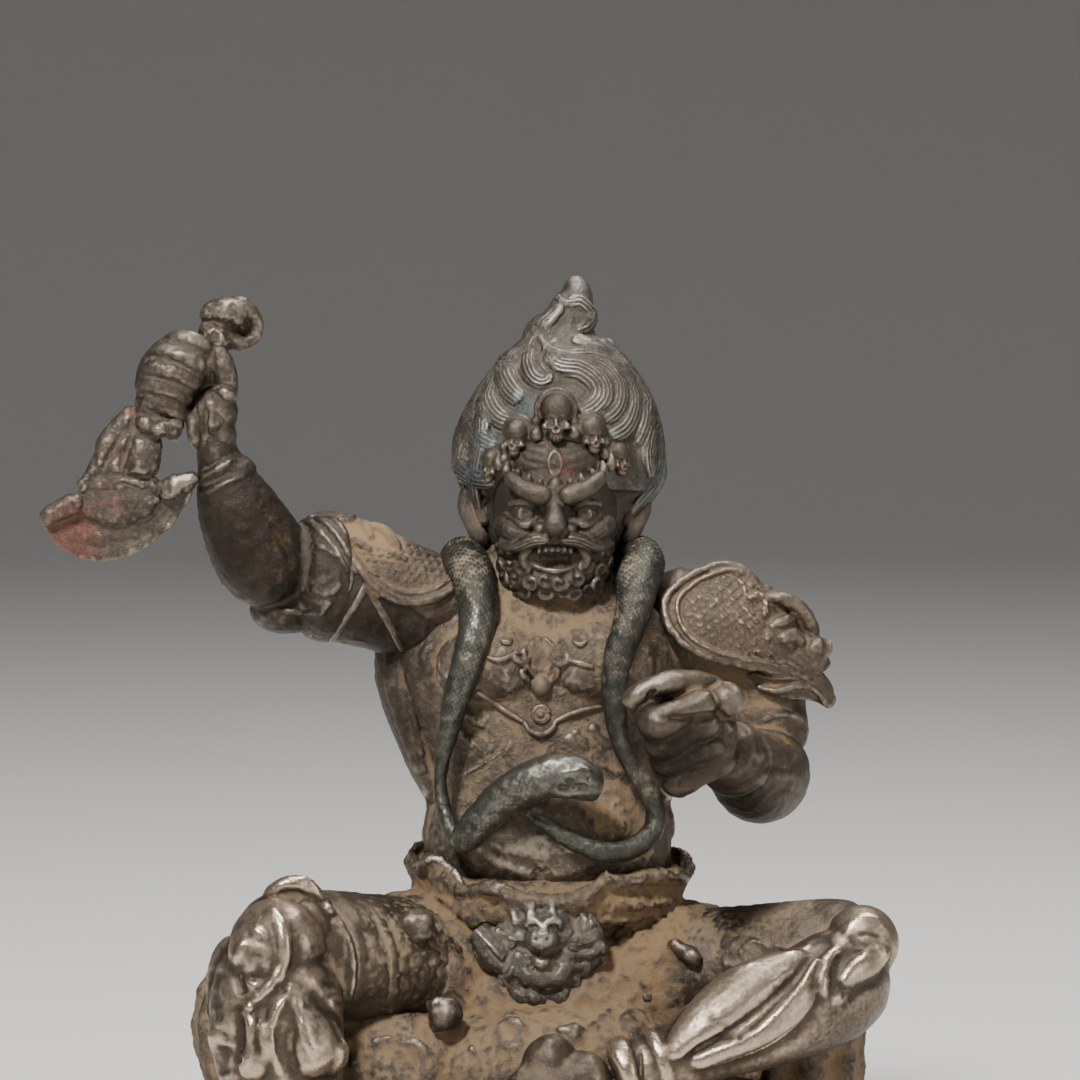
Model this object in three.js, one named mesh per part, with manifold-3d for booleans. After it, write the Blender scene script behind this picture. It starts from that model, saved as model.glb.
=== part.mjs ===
// A seated wrathful guardian, cast in copper in one piece with its rock seat, on a low rounded plinth.
// Millimetres, +Z up. The origin is at the centre of the plinth's underside and the figure faces -Y.
// "Right" and "left" are the figure's own: its right arm is raised on the -X side.
// The figure is laid out round its spine, and STANCE then sets the spine back on the plinth.
import * as THREE from "three";
import { SimplifyModifier } from "three/addons/modifiers/SimplifyModifier.js";
import { mergeVertices } from "three/addons/utils/BufferGeometryUtils.js";
import Module from "manifold-3d";

const wasm = await Module();
wasm.setup();

// Driving sizes
const TOTAL_HEIGHT = 151; // from the table to the tip of the topknot
const PLINTH = { height: 9, halfWidth: 58, halfDepth: 42, squareness: 3 };
const STANCE = 8; // how far the spine stands behind the plinth's middle
const HEAD = { centre: [1, -2.6, 116.5], radii: [9.4, 11, 12.6] };
const LOCKS = 13; // locks of hair round the head
const CROWN_SKULLS = 5;
const FINGER = 1.95; // half thickness of a finger
const SNAKE_GIRTH = 2.5; // half thickness of the snake at the shoulders
const COLLAR = { halfWidth: 18.4, halfDepth: 16.4, low: 56, high: 64.6, waves: 7 };
const SKIRT_FOLDS = 15; // folds of the skirt round the seat
const FINENESS = 1.6; // how much finer the forms are made than their stated sides and rings
// how many vertices each region keeps when it is simplified, and then the whole figure
const KEPT = { head: 1380, rightArm: 560, leftArm: 470, torso: 840, lap: 1180, figure: 4720 };

const rad = THREE.MathUtils.degToRad;
const { clamp, lerp, smoothstep } = THREE.MathUtils;
const vector = (x, y, z) => new THREE.Vector3(x, y, z);

// Solids

// A closed three.js geometry as a solid that can be joined and cut.
function solid(geometry) {
  const bare = geometry.clone();
  bare.deleteAttribute("normal");
  bare.deleteAttribute("uv");
  const merged = mergeVertices(bare, 1e-4);
  return new wasm.Manifold(
    new wasm.Mesh({
      numProp: 3,
      vertProperties: new Float32Array(merged.attributes.position.array),
      triVerts: new Uint32Array(merged.index.array),
    }),
  );
}

const finer = (count) => Math.round(count * FINENESS);

function geometryOf(manifold) {
  const mesh = manifold.getMesh();
  const geometry = new THREE.BufferGeometry();
  geometry.setAttribute("position", new THREE.BufferAttribute(mesh.vertProperties, 3));
  geometry.setIndex(new THREE.BufferAttribute(mesh.triVerts, 1));
  geometry.computeVertexNormals();
  return geometry;
}

const joined = (solids) => solids.reduce((whole, next) => whole.add(next));

// The largest shell of a joined solid, so that no pocket stays sealed between its forms.
const outerShell = (whole) => whole.decompose().reduce((a, b) => (b.volume() > a.volume() ? b : a));

// Forms joined into one, with fewer, larger triangles where it is plain.
async function simplified(forms, kept) {
  const geometry = geometryOf(outerShell(joined(forms)));
  const surplus = geometry.attributes.position.count - kept;
  return outerShell(solid(await new SimplifyModifier().modify(geometry, surplus)));
}

// Moves each vertex of a geometry to where place(x, y, z) says.
function reshaped(geometry, place) {
  const position = geometry.attributes.position;
  for (let i = 0; i < position.count; i++) {
    const p = place(position.getX(i), position.getY(i), position.getZ(i));
    position.setXYZ(i, p.x, p.y, p.z);
  }
  return geometry;
}

// An ellipsoid, turned by degrees about X, Y and Z.
function ball(centre, radii, { turn = [0, 0, 0], around = 8, rings = 6 } = {}) {
  const geometry = new THREE.SphereGeometry(1, finer(around), finer(rings)).rotateX(Math.PI / 2);
  const angles = turn.map(rad);
  geometry.scale(...radii);
  geometry.rotateX(angles[0]).rotateY(angles[1]).rotateZ(angles[2]);
  return solid(geometry.translate(...centre));
}

// The default "up" of a line: straight up, or to the front where the line itself runs up or down.
function uprightFor(stations) {
  const [first, last] = [stations[0], stations.at(-1)];
  const [run, rise] = [Math.hypot(last[0] - first[0], last[1] - first[1]), Math.abs(last[2] - first[2])];
  return rise > run ? [0, -1, 0] : [0, 0, 1];
}

// A smooth line through stations of [x, y, z, half width, half height]. section(share) gives its
// centre there, two directions across it and the half thickness in each, the second towards "up".
function limb(stations, up = uprightFor(stations)) {
  const smooth = (points) => new THREE.CatmullRomCurve3(points, false, "catmullrom", 0.5);
  const line = smooth(stations.map(([x, y, z]) => vector(x, y, z)));
  const girth = smooth(stations.map(([, , , a, b = a]) => vector(a, b, 0)));
  const section = (share) => {
    const tangent = line.getTangent(share);
    const side = vector(...up).cross(tangent).normalize();
    return { centre: line.getPoint(share), side, lift: tangent.clone().cross(side), half: girth.getPoint(share) };
  };
  return { length: line.getLength(), section };
}

// A bar drawn out along a limb, with both ends rounded. swell(angle, share) scales the section at
// an angle round the bar and a share of the way along it.
function roll(stations, { sides = 8, rings: rough = 8, up, swell = () => 1 } = {}) {
  const rings = finer(rough);
  const { length, section } = limb(stations, up);
  const endRing = 0.35; // where the first ring sits, as a share of the end's half thickness
  const along = (ring) => {
    if (ring === 0 || ring === rings) return ring / rings;
    const inset = (share) => Math.min(0.3, (endRing * section(share).half.x) / length);
    const first = inset(0);
    const last = 1 - inset(1);
    return first + ((last - first) * (ring - 1)) / (rings - 2);
  };
  return solid(
    reshaped(new THREE.SphereGeometry(1, finer(sides), rings), (x, y, z) => {
      const ring = Math.round((Math.acos(clamp(y, -1, 1)) / Math.PI) * rings);
      const share = along(ring);
      const { centre, side, lift, half } = section(share);
      if (ring === 0 || ring === rings) return centre;
      const end = ring === 1 || ring === rings - 1 ? 0.76 : 1;
      const fullness = (end * swell(Math.atan2(z, x), share)) / Math.hypot(x, z);
      return centre
        .addScaledVector(side, x * fullness * half.x)
        .addScaledVector(lift, z * fullness * half.y);
    }),
  );
}

// The same roll for each of several lists of stations.
const rolls = (lists, options) => lists.map((stations) => roll(stations, options));

// A cord or hem that lies round a limb, between two bearings in degrees from its side towards its
// lift. "lean" slides its far end along the limb, and "proud" is how far it stands off.
function band(stations, share, { from, to, size, up, lean = 0, proud = 0.2, rings = 8 }) {
  const { section } = limb(stations, up);
  const count = 7;
  const points = Array.from({ length: count }, (_, k) => {
    const done = k / (count - 1);
    const { centre, side, lift, half } = section(share + lean * done);
    const bearing = rad(from + (to - from) * done);
    const point = centre
      .addScaledVector(side, Math.cos(bearing) * (half.x + proud))
      .addScaledVector(lift, Math.sin(bearing) * (half.y + proud));
    return [...point.toArray(), size];
  });
  return roll(points, { sides: 6, rings, up: section(share).side.clone().cross(section(share).lift).toArray() });
}

// A thick sheet over the surface place(u, v), with u and v from 0 to 1.
function sheet(place, thickness, { across = 8, down = 4 } = {}) {
  const step = 1e-3;
  const normalAt = (u, v) => {
    const alongU = place(u + step, v).sub(place(u - step, v));
    const alongV = place(u, v + step).sub(place(u, v - step));
    return alongU.cross(alongV).normalize();
  };
  const box = new THREE.BoxGeometry(1, 1, 1, across, down, 1);
  return solid(
    reshaped(box, (x, y, z) => {
      const [u, v] = [x + 0.5, y + 0.5];
      return place(u, v).addScaledVector(normalAt(u, v), z * thickness);
    }),
  );
}

// A ring of round section through a closed run of points.
function hoop(points, thickness, { sides = 5, steps = 14 } = {}) {
  const line = new THREE.CatmullRomCurve3(points.map((p) => vector(...p)), true);
  const centre = points.reduce((sum, p) => sum.add(vector(...p)), vector(0, 0, 0)).divideScalar(points.length);
  const torus = new THREE.TorusGeometry(2, 1, sides, finer(steps));
  return solid(
    reshaped(torus, (x, y, z) => {
      const share = (Math.atan2(y, x) / (2 * Math.PI) + 1) % 1;
      const on = line.getPoint(share);
      const tangent = line.getTangent(share);
      const outward = on.clone().sub(centre);
      outward.addScaledVector(tangent, -outward.dot(tangent)).normalize();
      const lift = tangent.clone().cross(outward).negate();
      const out = Math.hypot(x, y) - 2;
      return on.addScaledVector(outward, out * thickness).addScaledVector(lift, z * thickness);
    }),
  );
}

// One list for each side of the body: the stations with X mirrored about the line x = axis.
const bothSides = (axis, stations) =>
  [-1, 1].map((side) => stations.map(([x, ...rest]) => [axis + side * x, ...rest]));

// The torso and head

function torso() {
  const trunk = roll(
    [
      [0, 4, 34, 20, 15],
      [0, 3, 46, 20, 15.5],
      [0, 1.5, 57, 18.6, 15],
      [0, 0, 66, 18.6, 15.5],
      [-0.3, 0.5, 74, 17.2, 14.6],
      [-0.5, 1, 84, 20.4, 13.8],
      [-0.5, 1, 94, 23.4, 13.4],
      [0, 1.5, 102, 20, 11.5],
      [0.5, 0.5, 108, 11, 9],
      [0.8, -1, 114, 7.5, 7.5],
    ],
    { sides: 14, rings: 13, up: [0, -1, 0] },
  );
  const breasts = [-1, 1].map((side) =>
    ball([side * 7.8 - 0.4, -10, 93.6], [8.6, 4.8, 6], { turn: [0, side * 10, 0] }),
  );
  const paunch = ball([-0.5, -9.5, 66.6], [13.5, 7.6, 9], { around: 10 });
  // the broad muscle from the shoulder blade to the waist, the ribs and the collar bones
  const flanks = rolls(
    bothSides(-0.4, [
      [19.4, 3, 98, 6.4, 6],
      [21, 2, 90, 4.6, 6.4],
      [18.6, 0.6, 80, 3.4, 5],
      [15.6, 0, 72, 2.4, 4],
    ]),
    { sides: 7, rings: 6, up: [0, -1, 0] },
  );
  const ribs = rolls(
    bothSides(-0.5, [
      [2.4, -13.6, 81.6, 0.8],
      [7, -13.2, 78.6, 1.2],
      [12.4, -10.8, 76, 0.9],
    ]),
    { sides: 6, rings: 5, up: [0, -1, 0] },
  );
  const spineMuscles = rolls(
    bothSides(0, [
      [4.6, 11.6, 62, 3.6, 3],
      [4.4, 12.6, 74, 3.6, 3],
      [5.6, 12.4, 86, 4, 3],
      [8.4, 11, 96, 5, 3.4],
      [6, 9, 104, 3.6, 3],
    ]),
    { sides: 7, rings: 7, up: [0, 1, 0] },
  );
  return [trunk, ...breasts, paunch, ...flanks, ...ribs, ...spineMuscles];
}

function face() {
  const [x, , z] = HEAD.centre;
  const skull = ball(HEAD.centre, HEAD.radii, { turn: [12, 0, 0], around: 12, rings: 9 });
  const jaw = ball([x, -7.2, z - 7], [7.8, 6.2, 5.4], { around: 10 });
  const muzzle = ball([x, -9.4, z - 4.6], [5.6, 5, 3.6], { around: 9 });
  const nose = roll(
    [
      [x, -12.6, z + 4.4, 1.3],
      [x, -14.6, z + 1.2, 1.6],
      [x, -15.4, z - 1.2, 2],
      [x, -13.8, z - 2.6, 1.4],
    ],
    { sides: 7, rings: 6 },
  );
  const nostrils = [-1, 1].map((side) => ball([x + side * 2, -13.9, z - 1.6], [1.3, 1.5, 1.2], { rings: 4 }));
  const brows = [
    [0.6, -12.8, z + 2.6, 1.2],
    [2.6, -13.3, z + 3.4, 1.8],
    [5.4, -12, z + 4.8, 1.7],
    [8, -8.8, z + 6.6, 0.9],
  ];
  const cheeks = [
    [2.8, -12.4, z - 1.6, 1.2],
    [5.6, -11.4, z - 2, 2],
    [8, -8, z - 0.6, 1.6],
  ];
  const moustache = [
    [0.6, -14, z - 4, 0.9],
    [3.6, -13.2, z - 4.8, 1.5],
    [6.8, -10.4, z - 6.6, 1],
    [8.4, -7.6, z - 7.4, 0.5],
  ];
  const ears = [
    [10, -1.4, z + 2.8, 1.2, 1.6],
    [11.2, -1, z + 0.4, 1.7, 2.4],
    [10.8, -1.4, z - 3.4, 1.3, 1.9],
    [10, -1.8, z - 6.6, 1.2, 1.4],
  ];
  const paired = [brows, cheeks, moustache, ears].flatMap((stations) =>
    rolls(bothSides(x, stations), { sides: 7, rings: 6 }),
  );
  const eyes = [-1, 1].map((side) => ball([x + side * 4.4, -11.4, z + 0.9], [2.1, 1.7, 1.4], { rings: 5 }));
  const lips = ball([x, -13.2, z - 6.6], [3.2, 1.6, 1], { rings: 4 });
  return [skull, jaw, muzzle, nose, ...nostrils, ...eyes, ...paired, lips, ...beard()];
}

// Three rows of curls along the jaw.
function beard() {
  const [x, , z] = HEAD.centre;
  const curl = (bearing, drop, reach, size) => {
    const angle = rad(bearing);
    const at = (r, h, s) => [x + Math.sin(angle) * r * 0.86, -4.6 - Math.cos(angle) * r, z + h, s];
    return roll([at(reach, drop + 2, size), at(reach + 0.9, drop, size * 1.1), at(reach - 0.6, drop - 2.2, size * 0.6)], {
      sides: 6,
      rings: 4,
    });
  };
  const row = (bearings, drop, reach, size) => bearings.map((bearing) => curl(bearing, drop, reach, size));
  return [
    ...row([-80, -58, 58, 80], -5, 9, 1.6),
    ...row([-66, -42, -18, 18, 42, 66], -8, 8.8, 1.7),
    ...row([-54, -26, 0, 26, 54], -10.6, 8.4, 1.7),
  ];
}

// The combed hair from the nape to the topknot's tip, over a lip at the ears.
const HAIR = [
  [1.4, 4, 104.6, 6.4, 6],
  [1.2, 4, 109, 10.4, 9.8],
  [1.2, 3.6, 114, 11.8, 11],
  [1.3, 3.4, 117.8, 12.8, 11.4],
  [1.4, 3.4, 119.8, 15.6, 13.4],
  [1.6, 3.4, 123.6, 16.4, 14.2],
  [2, 3.5, 129, 15.4, 13.4],
  [2.4, 3.7, 134, 12.8, 11.4],
  [2.7, 4, 138.4, 9, 8.6],
  [2.6, 4, 141.8, 5.4, 5.4],
  [3.4, 4, 145, 3.7, 3.7],
  [4.2, 4, 148, 2.7, 2.7],
  [3.7, 4, TOTAL_HEIGHT - 0.1, 1.1, 1.1],
];

// The front of the combed hair at an X and a height.
function hairFront(x, z) {
  const next = Math.max(1, HAIR.findIndex((station) => station[2] > z));
  const [below, above] = [HAIR[next - 1], HAIR[next]];
  const share = (z - below[2]) / (above[2] - below[2]);
  const [cx, cy, , halfWidth, halfDepth] = below.map((value, i) => lerp(value, above[i], share));
  return cy - halfDepth * Math.sqrt(Math.max(0.02, 1 - ((x - cx) / halfWidth) ** 2));
}

function hair() {
  const sweep = rad(150); // how far a lock turns round the head on its way up
  const lock = (angle, share) => {
    const rise = smoothstep(share, 0.12, 0.9);
    const phase = (angle + sweep * rise) * LOCKS + 1.2 * Math.sin(share * 10);
    const depth = 0.085 * smoothstep(share, 0.1, 0.2);
    return 1 + depth * (Math.abs(Math.cos(phase / 2)) * 2 - 1.1);
  };
  const mass = roll(HAIR, { sides: 42, rings: 17, up: [0, -1, 0], swell: lock });
  // waves that part over the crown and curl at the ears, as [x, z, half width]
  const waves = [
    [[3, 142, 1], [-1.4, 138.6, 2], [-5.4, 135.4, 2.5], [-6.2, 132, 2.2], [-3.6, 130.4, 1.1]],
    [[1, 140, 1], [3.4, 137.6, 2], [7.4, 135, 2.6], [9.6, 131.4, 2.2], [7.4, 129.2, 1.1]],
    [[-4, 137.6, 1], [-8, 134.6, 2], [-10, 130, 2.6], [-9.4, 126, 2.2], [-6.4, 124.2, 1.1]],
    [[5, 139, 1], [9.6, 135.6, 2], [13, 130.6, 2.6], [13, 126, 2.2], [10.4, 124, 1.1]],
    [[-9, 134.4, 1], [-12.2, 130, 2], [-13, 125.4, 2.6], [-13.2, 121.4, 2.4], [-9.6, 120.2, 1.4]],
    [[9, 136.4, 1], [14.4, 131, 2], [16.2, 125.6, 2.6], [16, 121, 2.4], [12.6, 119.8, 1.4]],
  ].map((points) =>
    roll(
      points.map(([x, z, size]) => [x, hairFront(x, z) + 0.2, z, size, size * 0.75]),
      { sides: 7, rings: 9, up: [0, -1, 0] },
    ),
  );
  // the long lock that winds into the topknot
  const winding = roll(
    [
      [-5, -3, 137.6, 0.8],
      [-1.6, -2.6, 141, 2, 1.6],
      [3.2, -1, 143.4, 2, 1.7],
      [6.2, 2, 145.4, 1.8, 1.6],
      [6, 4.4, 147.6, 0.9],
    ],
    { sides: 7, rings: 8, up: [0, -1, 0] },
  );
  return [mass, ...waves, winding];
}

// Five little skulls over the brow on a thin band, the middle one highest.
function crown() {
  const middle = (CROWN_SKULLS - 1) / 2;
  const [centreX, halfWidth, halfDepth] = [0.9, 11.6, 12.4];
  const spot = (step) => {
    const bearing = rad(24.5 * step);
    return [centreX + halfWidth * Math.sin(bearing), 1.6 - halfDepth * Math.cos(bearing), 130.4 - 3.3 * Math.abs(step)];
  };
  const skulls = Array.from({ length: CROWN_SKULLS }, (_, k) => {
    const step = k - middle;
    const size = 2.6 - 0.25 * Math.abs(step);
    const [x, y, z] = spot(step);
    const turn = [10, 0, step * 24];
    const jaw = [size * 0.6, size * 0.66, size * 0.72];
    return [
      ball([x, y, z], [size, size, size], { turn, around: 7, rings: 5 }),
      ball([x, y - size * 0.3, z - size * 1.05], jaw, { turn, around: 6, rings: 4 }),
    ];
  }).flat();
  const band = roll(
    [-2.6, -1.3, 0, 1.3, 2.6].map((step) => {
      const [x, y, z] = spot(step);
      return [x, y, z - 3.6, 0.9, 1.2];
    }),
    { sides: 6, rings: 9 },
  );
  return [...skulls, band];
}

// The snake garland: its thin fore part drops on the right breast, turns at the belly and thickens
// into neck and head, and its tail crosses under the head from the left.
function snake() {
  const g = SNAKE_GIRTH;
  const garland = roll(
    [
      [-11.6, -15.8, 68.4, g * 0.55],
      [-14.6, -14.4, 70, g * 0.45],
      [-16, -12.6, 75, g * 0.42],
      [-15.4, -12.6, 80.6, g * 0.55],
      [-13.4, -13.6, 88, g * 0.85],
      [-11, -13.8, 96.6, g],
      [-10.4, -10.4, 103.4, g * 1.05],
      [-12.2, -1.4, 108.2, g * 1.05],
      [-10, 8.4, 107, g],
      [0.6, 12.6, 105.5, g],
      [11.4, 8.4, 107, g],
      [14.4, -1.4, 108.2, g],
      [13.2, -9.8, 103.4, g],
      [10.2, -14, 96, g * 0.95],
      [9.6, -14.4, 87, g * 0.9],
      [12.6, -14, 79, g * 0.75],
      [16.6, -12.6, 73, g * 0.7],
      [14.6, -14.6, 67.6, g * 0.68],
      [6.8, -17.2, 66.6, g * 0.62],
      [-2.4, -17.8, 71, g * 0.4],
    ],
    { sides: 8, rings: 60, up: [0, -0.35, 1] },
  );
  const neck = roll(
    [
      [-12.4, -16, 68.2, g * 0.7, g * 0.65],
      [-11, -17.4, 69.4, g * 1.02, g * 0.95],
      [-7.6, -19, 73.4, g * 1.12, g],
      [-3, -20.6, 77.2, g * 1.2, g],
      [2.4, -21.4, 78.2, g * 1.24, g * 0.95],
      [5.6, -21.4, 77.4, g * 0.95, g * 0.75],
      [8.2, -21, 76.4, g * 0.5, g * 0.4],
    ],
    { sides: 9, rings: 12, up: [0, -1, 0.2] },
  );
  return [garland, neck];
}

// Arms, hands and armour

// Four fingers closed round a bar. "back" points from the bar to where the fingers spring, and
// each finger runs round the bar from one bearing to another at the grip's radius.
function fist(centre, bar, back, { from, to, radius, spacing, thickness = FINGER }) {
  const along = vector(...bar).normalize();
  const out = vector(...back).addScaledVector(along, -vector(...back).dot(along)).normalize();
  const across = along.clone().cross(out);
  const stationCount = 6;
  return [1.5, 0.5, -0.5, -1.5].map((place, k) => {
    const size = thickness * (1 - 0.06 * k);
    const stations = Array.from({ length: stationCount }, (_, i) => {
      const bearing = rad(from + ((to - from) * i) / (stationCount - 1));
      const reach = radius * (i === stationCount - 1 ? 0.82 : 1);
      const point = vector(...centre)
        .addScaledVector(along, place * spacing)
        .addScaledVector(out, Math.cos(bearing) * reach)
        .addScaledVector(across, Math.sin(bearing) * reach);
      return [...point.toArray(), size, size];
    });
    return roll(stations, { sides: 6, rings: 7, up: along.toArray() });
  });
}

const HANDLE = [0.55, 0, 0.83]; // the way the knife's handle runs up through the right hand
const RIGHT_UPPER_ARM = [
  [-12, 2, 100, 10, 9],
  [-21, 0, 103, 9.8, 9],
  [-30, -4, 105, 8.8, 9],
  [-38.5, -8, 105.2, 7.6, 8.2],
];

function rightArm() {
  const upper = roll(RIGHT_UPPER_ARM, { sides: 10, rings: 7 });
  const fore = roll(
    [
      [-38, -7.6, 103.2, 7.4, 7],
      [-42.4, -9.4, 109.6, 7.2, 7.2],
      [-46, -11, 117, 5.8, 5.8],
      [-48.6, -12, 124.2, 3.5, 3.8],
      [-49.4, -12.4, 128.4, 3.2, 3.8],
    ],
    { sides: 10, rings: 8, up: [0, -1, 0] },
  );
  const elbow = ball([-39, -5.8, 101], [5.4, 5.4, 3.6], { around: 9 });
  const cuff = roll(
    [
      [-47.2, -11.5, 121, 4.7, 4.9],
      [-48.2, -11.9, 123.6, 4.2, 4.4],
    ],
    { sides: 10, rings: 5, up: [0, -1, 0] },
  );
  const sleeve = roll(
    [
      [-32.4, -5, 105.4, 8.6, 9.6],
      [-35.4, -6.4, 105.6, 10, 10.2],
      [-38, -7.8, 105.6, 8.4, 8.8],
    ],
    { sides: 10, rings: 5 },
  );
  const palm = roll(
    [
      [-49.2, -11.8, 127, 3.4, 3.6],
      [-48.6, -12, 131.4, 3.4, 4.2],
      [-48.8, -12.4, 136, 2.8, 4],
    ],
    { sides: 7, rings: 5, up: [0, -1, 0] },
  );
  const fingers = fist([-53.4, -13.2, 133.6], HANDLE, [1, 0.2, -0.6], {
    from: 10,
    to: 285,
    radius: 3.5,
    spacing: 3.7,
  });
  const thumb = roll(
    [
      [-48.4, -14.2, 130.6, 2.2, 2.2],
      [-48.2, -16.8, 134.6, 2, 2],
      [-50.2, -17.6, 138.4, 1.7, 1.7],
    ],
    { sides: 6, rings: 6, up: [1, 0, 0] },
  );
  return [upper, fore, elbow, cuff, sleeve, palm, ...fingers, thumb];
}

// The flaying knife: a ring at the top of the handle, a beast's crest below the hand and a
// crescent blade that points both ways.
function knife() {
  const handle = roll(
    [
      [-46.6, -13.2, 143, 2.4, 2.4],
      [-48.4, -13.2, 140.6, 3.3, 3.3],
      [-50.4, -13.2, 137.8, 2.4, 2.4],
      [-56.4, -13.8, 128.6, 2.4, 2.4],
      [-58.4, -14.4, 126, 3.2, 3],
      [-60, -14.8, 122, 3.6, 2.6],
      [-61.4, -15, 118, 4, 2],
    ],
    { sides: 8, rings: 11, up: [0, -1, 0] },
  );
  const crest = roll(
    [
      [-58, -14, 130.6, 1.6, 1.6],
      [-62.2, -14.4, 126.6, 2.4, 1.8],
      [-65.6, -14.8, 122, 2.2, 1.7],
      [-68.6, -15, 118.6, 1.6, 1.4],
    ],
    { sides: 6, rings: 7, up: [0, -1, 0] },
  );
  const prong = roll(
    [
      [-57, -13.6, 127.4, 2, 1.8],
      [-56.8, -14.4, 123.4, 1.9, 1.7],
      [-57.4, -15, 119, 2.2, 1.6],
    ],
    { sides: 6, rings: 5, up: [0, -1, 0] },
  );
  const [tip, point, flat] = [vector(-74, -15, 114.2), vector(-51, -15, 121.2), -15];
  const spine = new THREE.CubicBezierCurve3(tip, vector(-66, flat, 121.4), vector(-57, flat, 120), point);
  const edge = new THREE.CubicBezierCurve3(tip, vector(-70.6, flat, 105.6), vector(-56, flat, 107), point);
  const blade = sheet(
    (u, v) => {
      const t = clamp(0.015 + 0.97 * u, 0, 1);
      return edge.getPoint(t).lerp(spine.getPoint(t), v).add(vector(0, -0.8 * Math.sin(v * Math.PI), 0));
    },
    2.2,
    { across: 12, down: 3 },
  );
  const ringPoints = Array.from({ length: 8 }, (_, k) => {
    const angle = (k * Math.PI) / 4;
    const across = vector(0.8, -0.6, 0).multiplyScalar(3.1 * Math.cos(angle));
    return [-45.2 + across.x, -13.4 + across.y, 144.4 + 3.1 * Math.sin(angle)];
  });
  return [handle, crest, prong, blade, hoop(ringPoints, 1.6, { sides: 6, steps: 12 })];
}

function leftArm() {
  const upper = roll(
    [
      [13, 2, 99.4, 9.4, 9],
      [22.5, 0.8, 98, 8.4, 9],
      [29.6, -1, 92, 8, 8.2],
      [33.6, -3, 84, 7, 7.2],
      [34.6, -4, 78, 6.4, 6.4],
    ],
    { sides: 10, rings: 8, up: [0, -1, 0] },
  );
  const fore = roll(
    [
      [34.6, -1.6, 76.6, 6, 6.4],
      [33.8, -8.5, 76.2, 6.8, 7],
      [30.4, -16, 77.6, 6.6, 6.6],
      [26.6, -23.6, 80.8, 5.2, 5.2],
      [23.6, -29.6, 83.6, 4.4, 4.6],
    ],
    { sides: 10, rings: 8 },
  );
  const elbow = ball([35.6, 0.4, 76], [4.6, 4.8, 4.6]);
  const cuff = roll(
    [
      [28, -21.4, 79.6, 6, 6],
      [26.6, -24, 81, 5.4, 5.4],
    ],
    { sides: 10, rings: 5 },
  );
  const palm = ball([23, -32, 85], [4.6, 5.6, 7.8], { turn: [-8, 0, -14], around: 9 });
  const fingers = fist([19.4, -34.4, 85.6], [0.1, -0.16, 0.97], [0.9, 0.5, 0], {
    from: 30,
    to: -215,
    radius: 4.4,
    spacing: 4.2,
    thickness: FINGER * 1.12,
  });
  const thumb = roll(
    [
      [22.4, -34.6, 93, 2.4, 2.2],
      [18.6, -38, 93.6, 2.2, 2],
      [14.4, -37.8, 92.2, 1.9, 1.7],
    ],
    { sides: 7, rings: 6 },
  );
  return [upper, fore, elbow, cuff, palm, ...fingers, thumb];
}

// A bowed shoulder plate with a raised rim. "out" points away from the arm, "top" up the plate.
function shoulderPlate({ centre, out, top, halfWidth, halfHeight, bow }) {
  const normal = vector(...out).normalize();
  const across = vector(...top).cross(normal).normalize();
  const lift = normal.clone().cross(across);
  return rimmedPlate((a, b, height) =>
    vector(...centre)
      .addScaledVector(across, a * halfWidth)
      .addScaledVector(lift, b * halfHeight)
      .addScaledVector(normal, height - bow * (a * a + b * b)),
  );
}

// A plate laid round a limb. "share" and "bearing" are its middle along and round the limb, "reach"
// and "spread" its half sizes, and "slant" turns its far end round the limb.
function wrappedPlate(stations, { share, reach, bearing, spread, slant, proud }) {
  const { section } = limb(stations);
  return rimmedPlate((a, b, height) => {
    const { centre, side, lift, half } = section(share - a * reach);
    const angle = rad(bearing + b * spread - a * slant);
    return centre
      .addScaledVector(side, Math.cos(angle) * (half.x + proud + height))
      .addScaledVector(lift, Math.sin(angle) * (half.y + proud + height));
  });
}

// The lens and raised rim of a plate, over the surface at(a, b, height) with a and b from -1 to 1.
function rimmedPlate(at) {
  const lens = new THREE.SphereGeometry(1, 20, 8).rotateX(Math.PI / 2);
  const rim = Array.from({ length: 14 }, (_, k) => {
    const angle = (k * Math.PI) / 7;
    return at(Math.cos(angle), Math.sin(angle), 0.1).toArray();
  });
  return [solid(reshaped(lens, (x, y, z) => at(x, y, z * 2.2 - 1))), hoop(rim, 1.15, { sides: 6, steps: 18 })];
}

// A beast's head at the outer end of a plate: brow, snout and two ears.
function beastHead(at, snout, size) {
  const ears = [-0.7, 0.7].map((side) =>
    ball([at[0] + side * size, at[1] - 0.4, at[2] + size * 0.72], [1, 0.9, 1.3], { around: 6, rings: 4 }),
  );
  return [
    ball(at, [size, size * 0.9, size * 0.86], { around: 8, rings: 5 }),
    ball(snout, [size * 0.62, size * 0.6, size * 0.5], { around: 7, rings: 4 }),
    ...ears,
  ];
}

function rightArmour() {
  const plate = wrappedPlate(RIGHT_UPPER_ARM, {
    share: 0.46,
    reach: 0.42,
    bearing: 52,
    spread: 62,
    slant: 34,
    proud: 1.2,
  });
  const crest = ball([-24, -2.6, 114.2], [4.6, 2.6, 1.8], { turn: [0, 14, 0], around: 7, rings: 4 });
  // straps that slant under the raised arm, and the beaded band that crosses them
  const straps = [0.48, 0.62, 0.76].map((share) =>
    band(RIGHT_UPPER_ARM, share, { from: 150, to: 290, size: 1.3, lean: 0.16, proud: 0.4 }),
  );
  const beads = band(RIGHT_UPPER_ARM, 0.93, { from: 60, to: 200, size: 1.4, lean: -0.28, proud: 0.8 });
  return [...plate, ...beastHead([-31, -6.6, 112.2], [-34.4, -8.6, 111.6], 3), crest, ...straps, beads];
}

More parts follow.
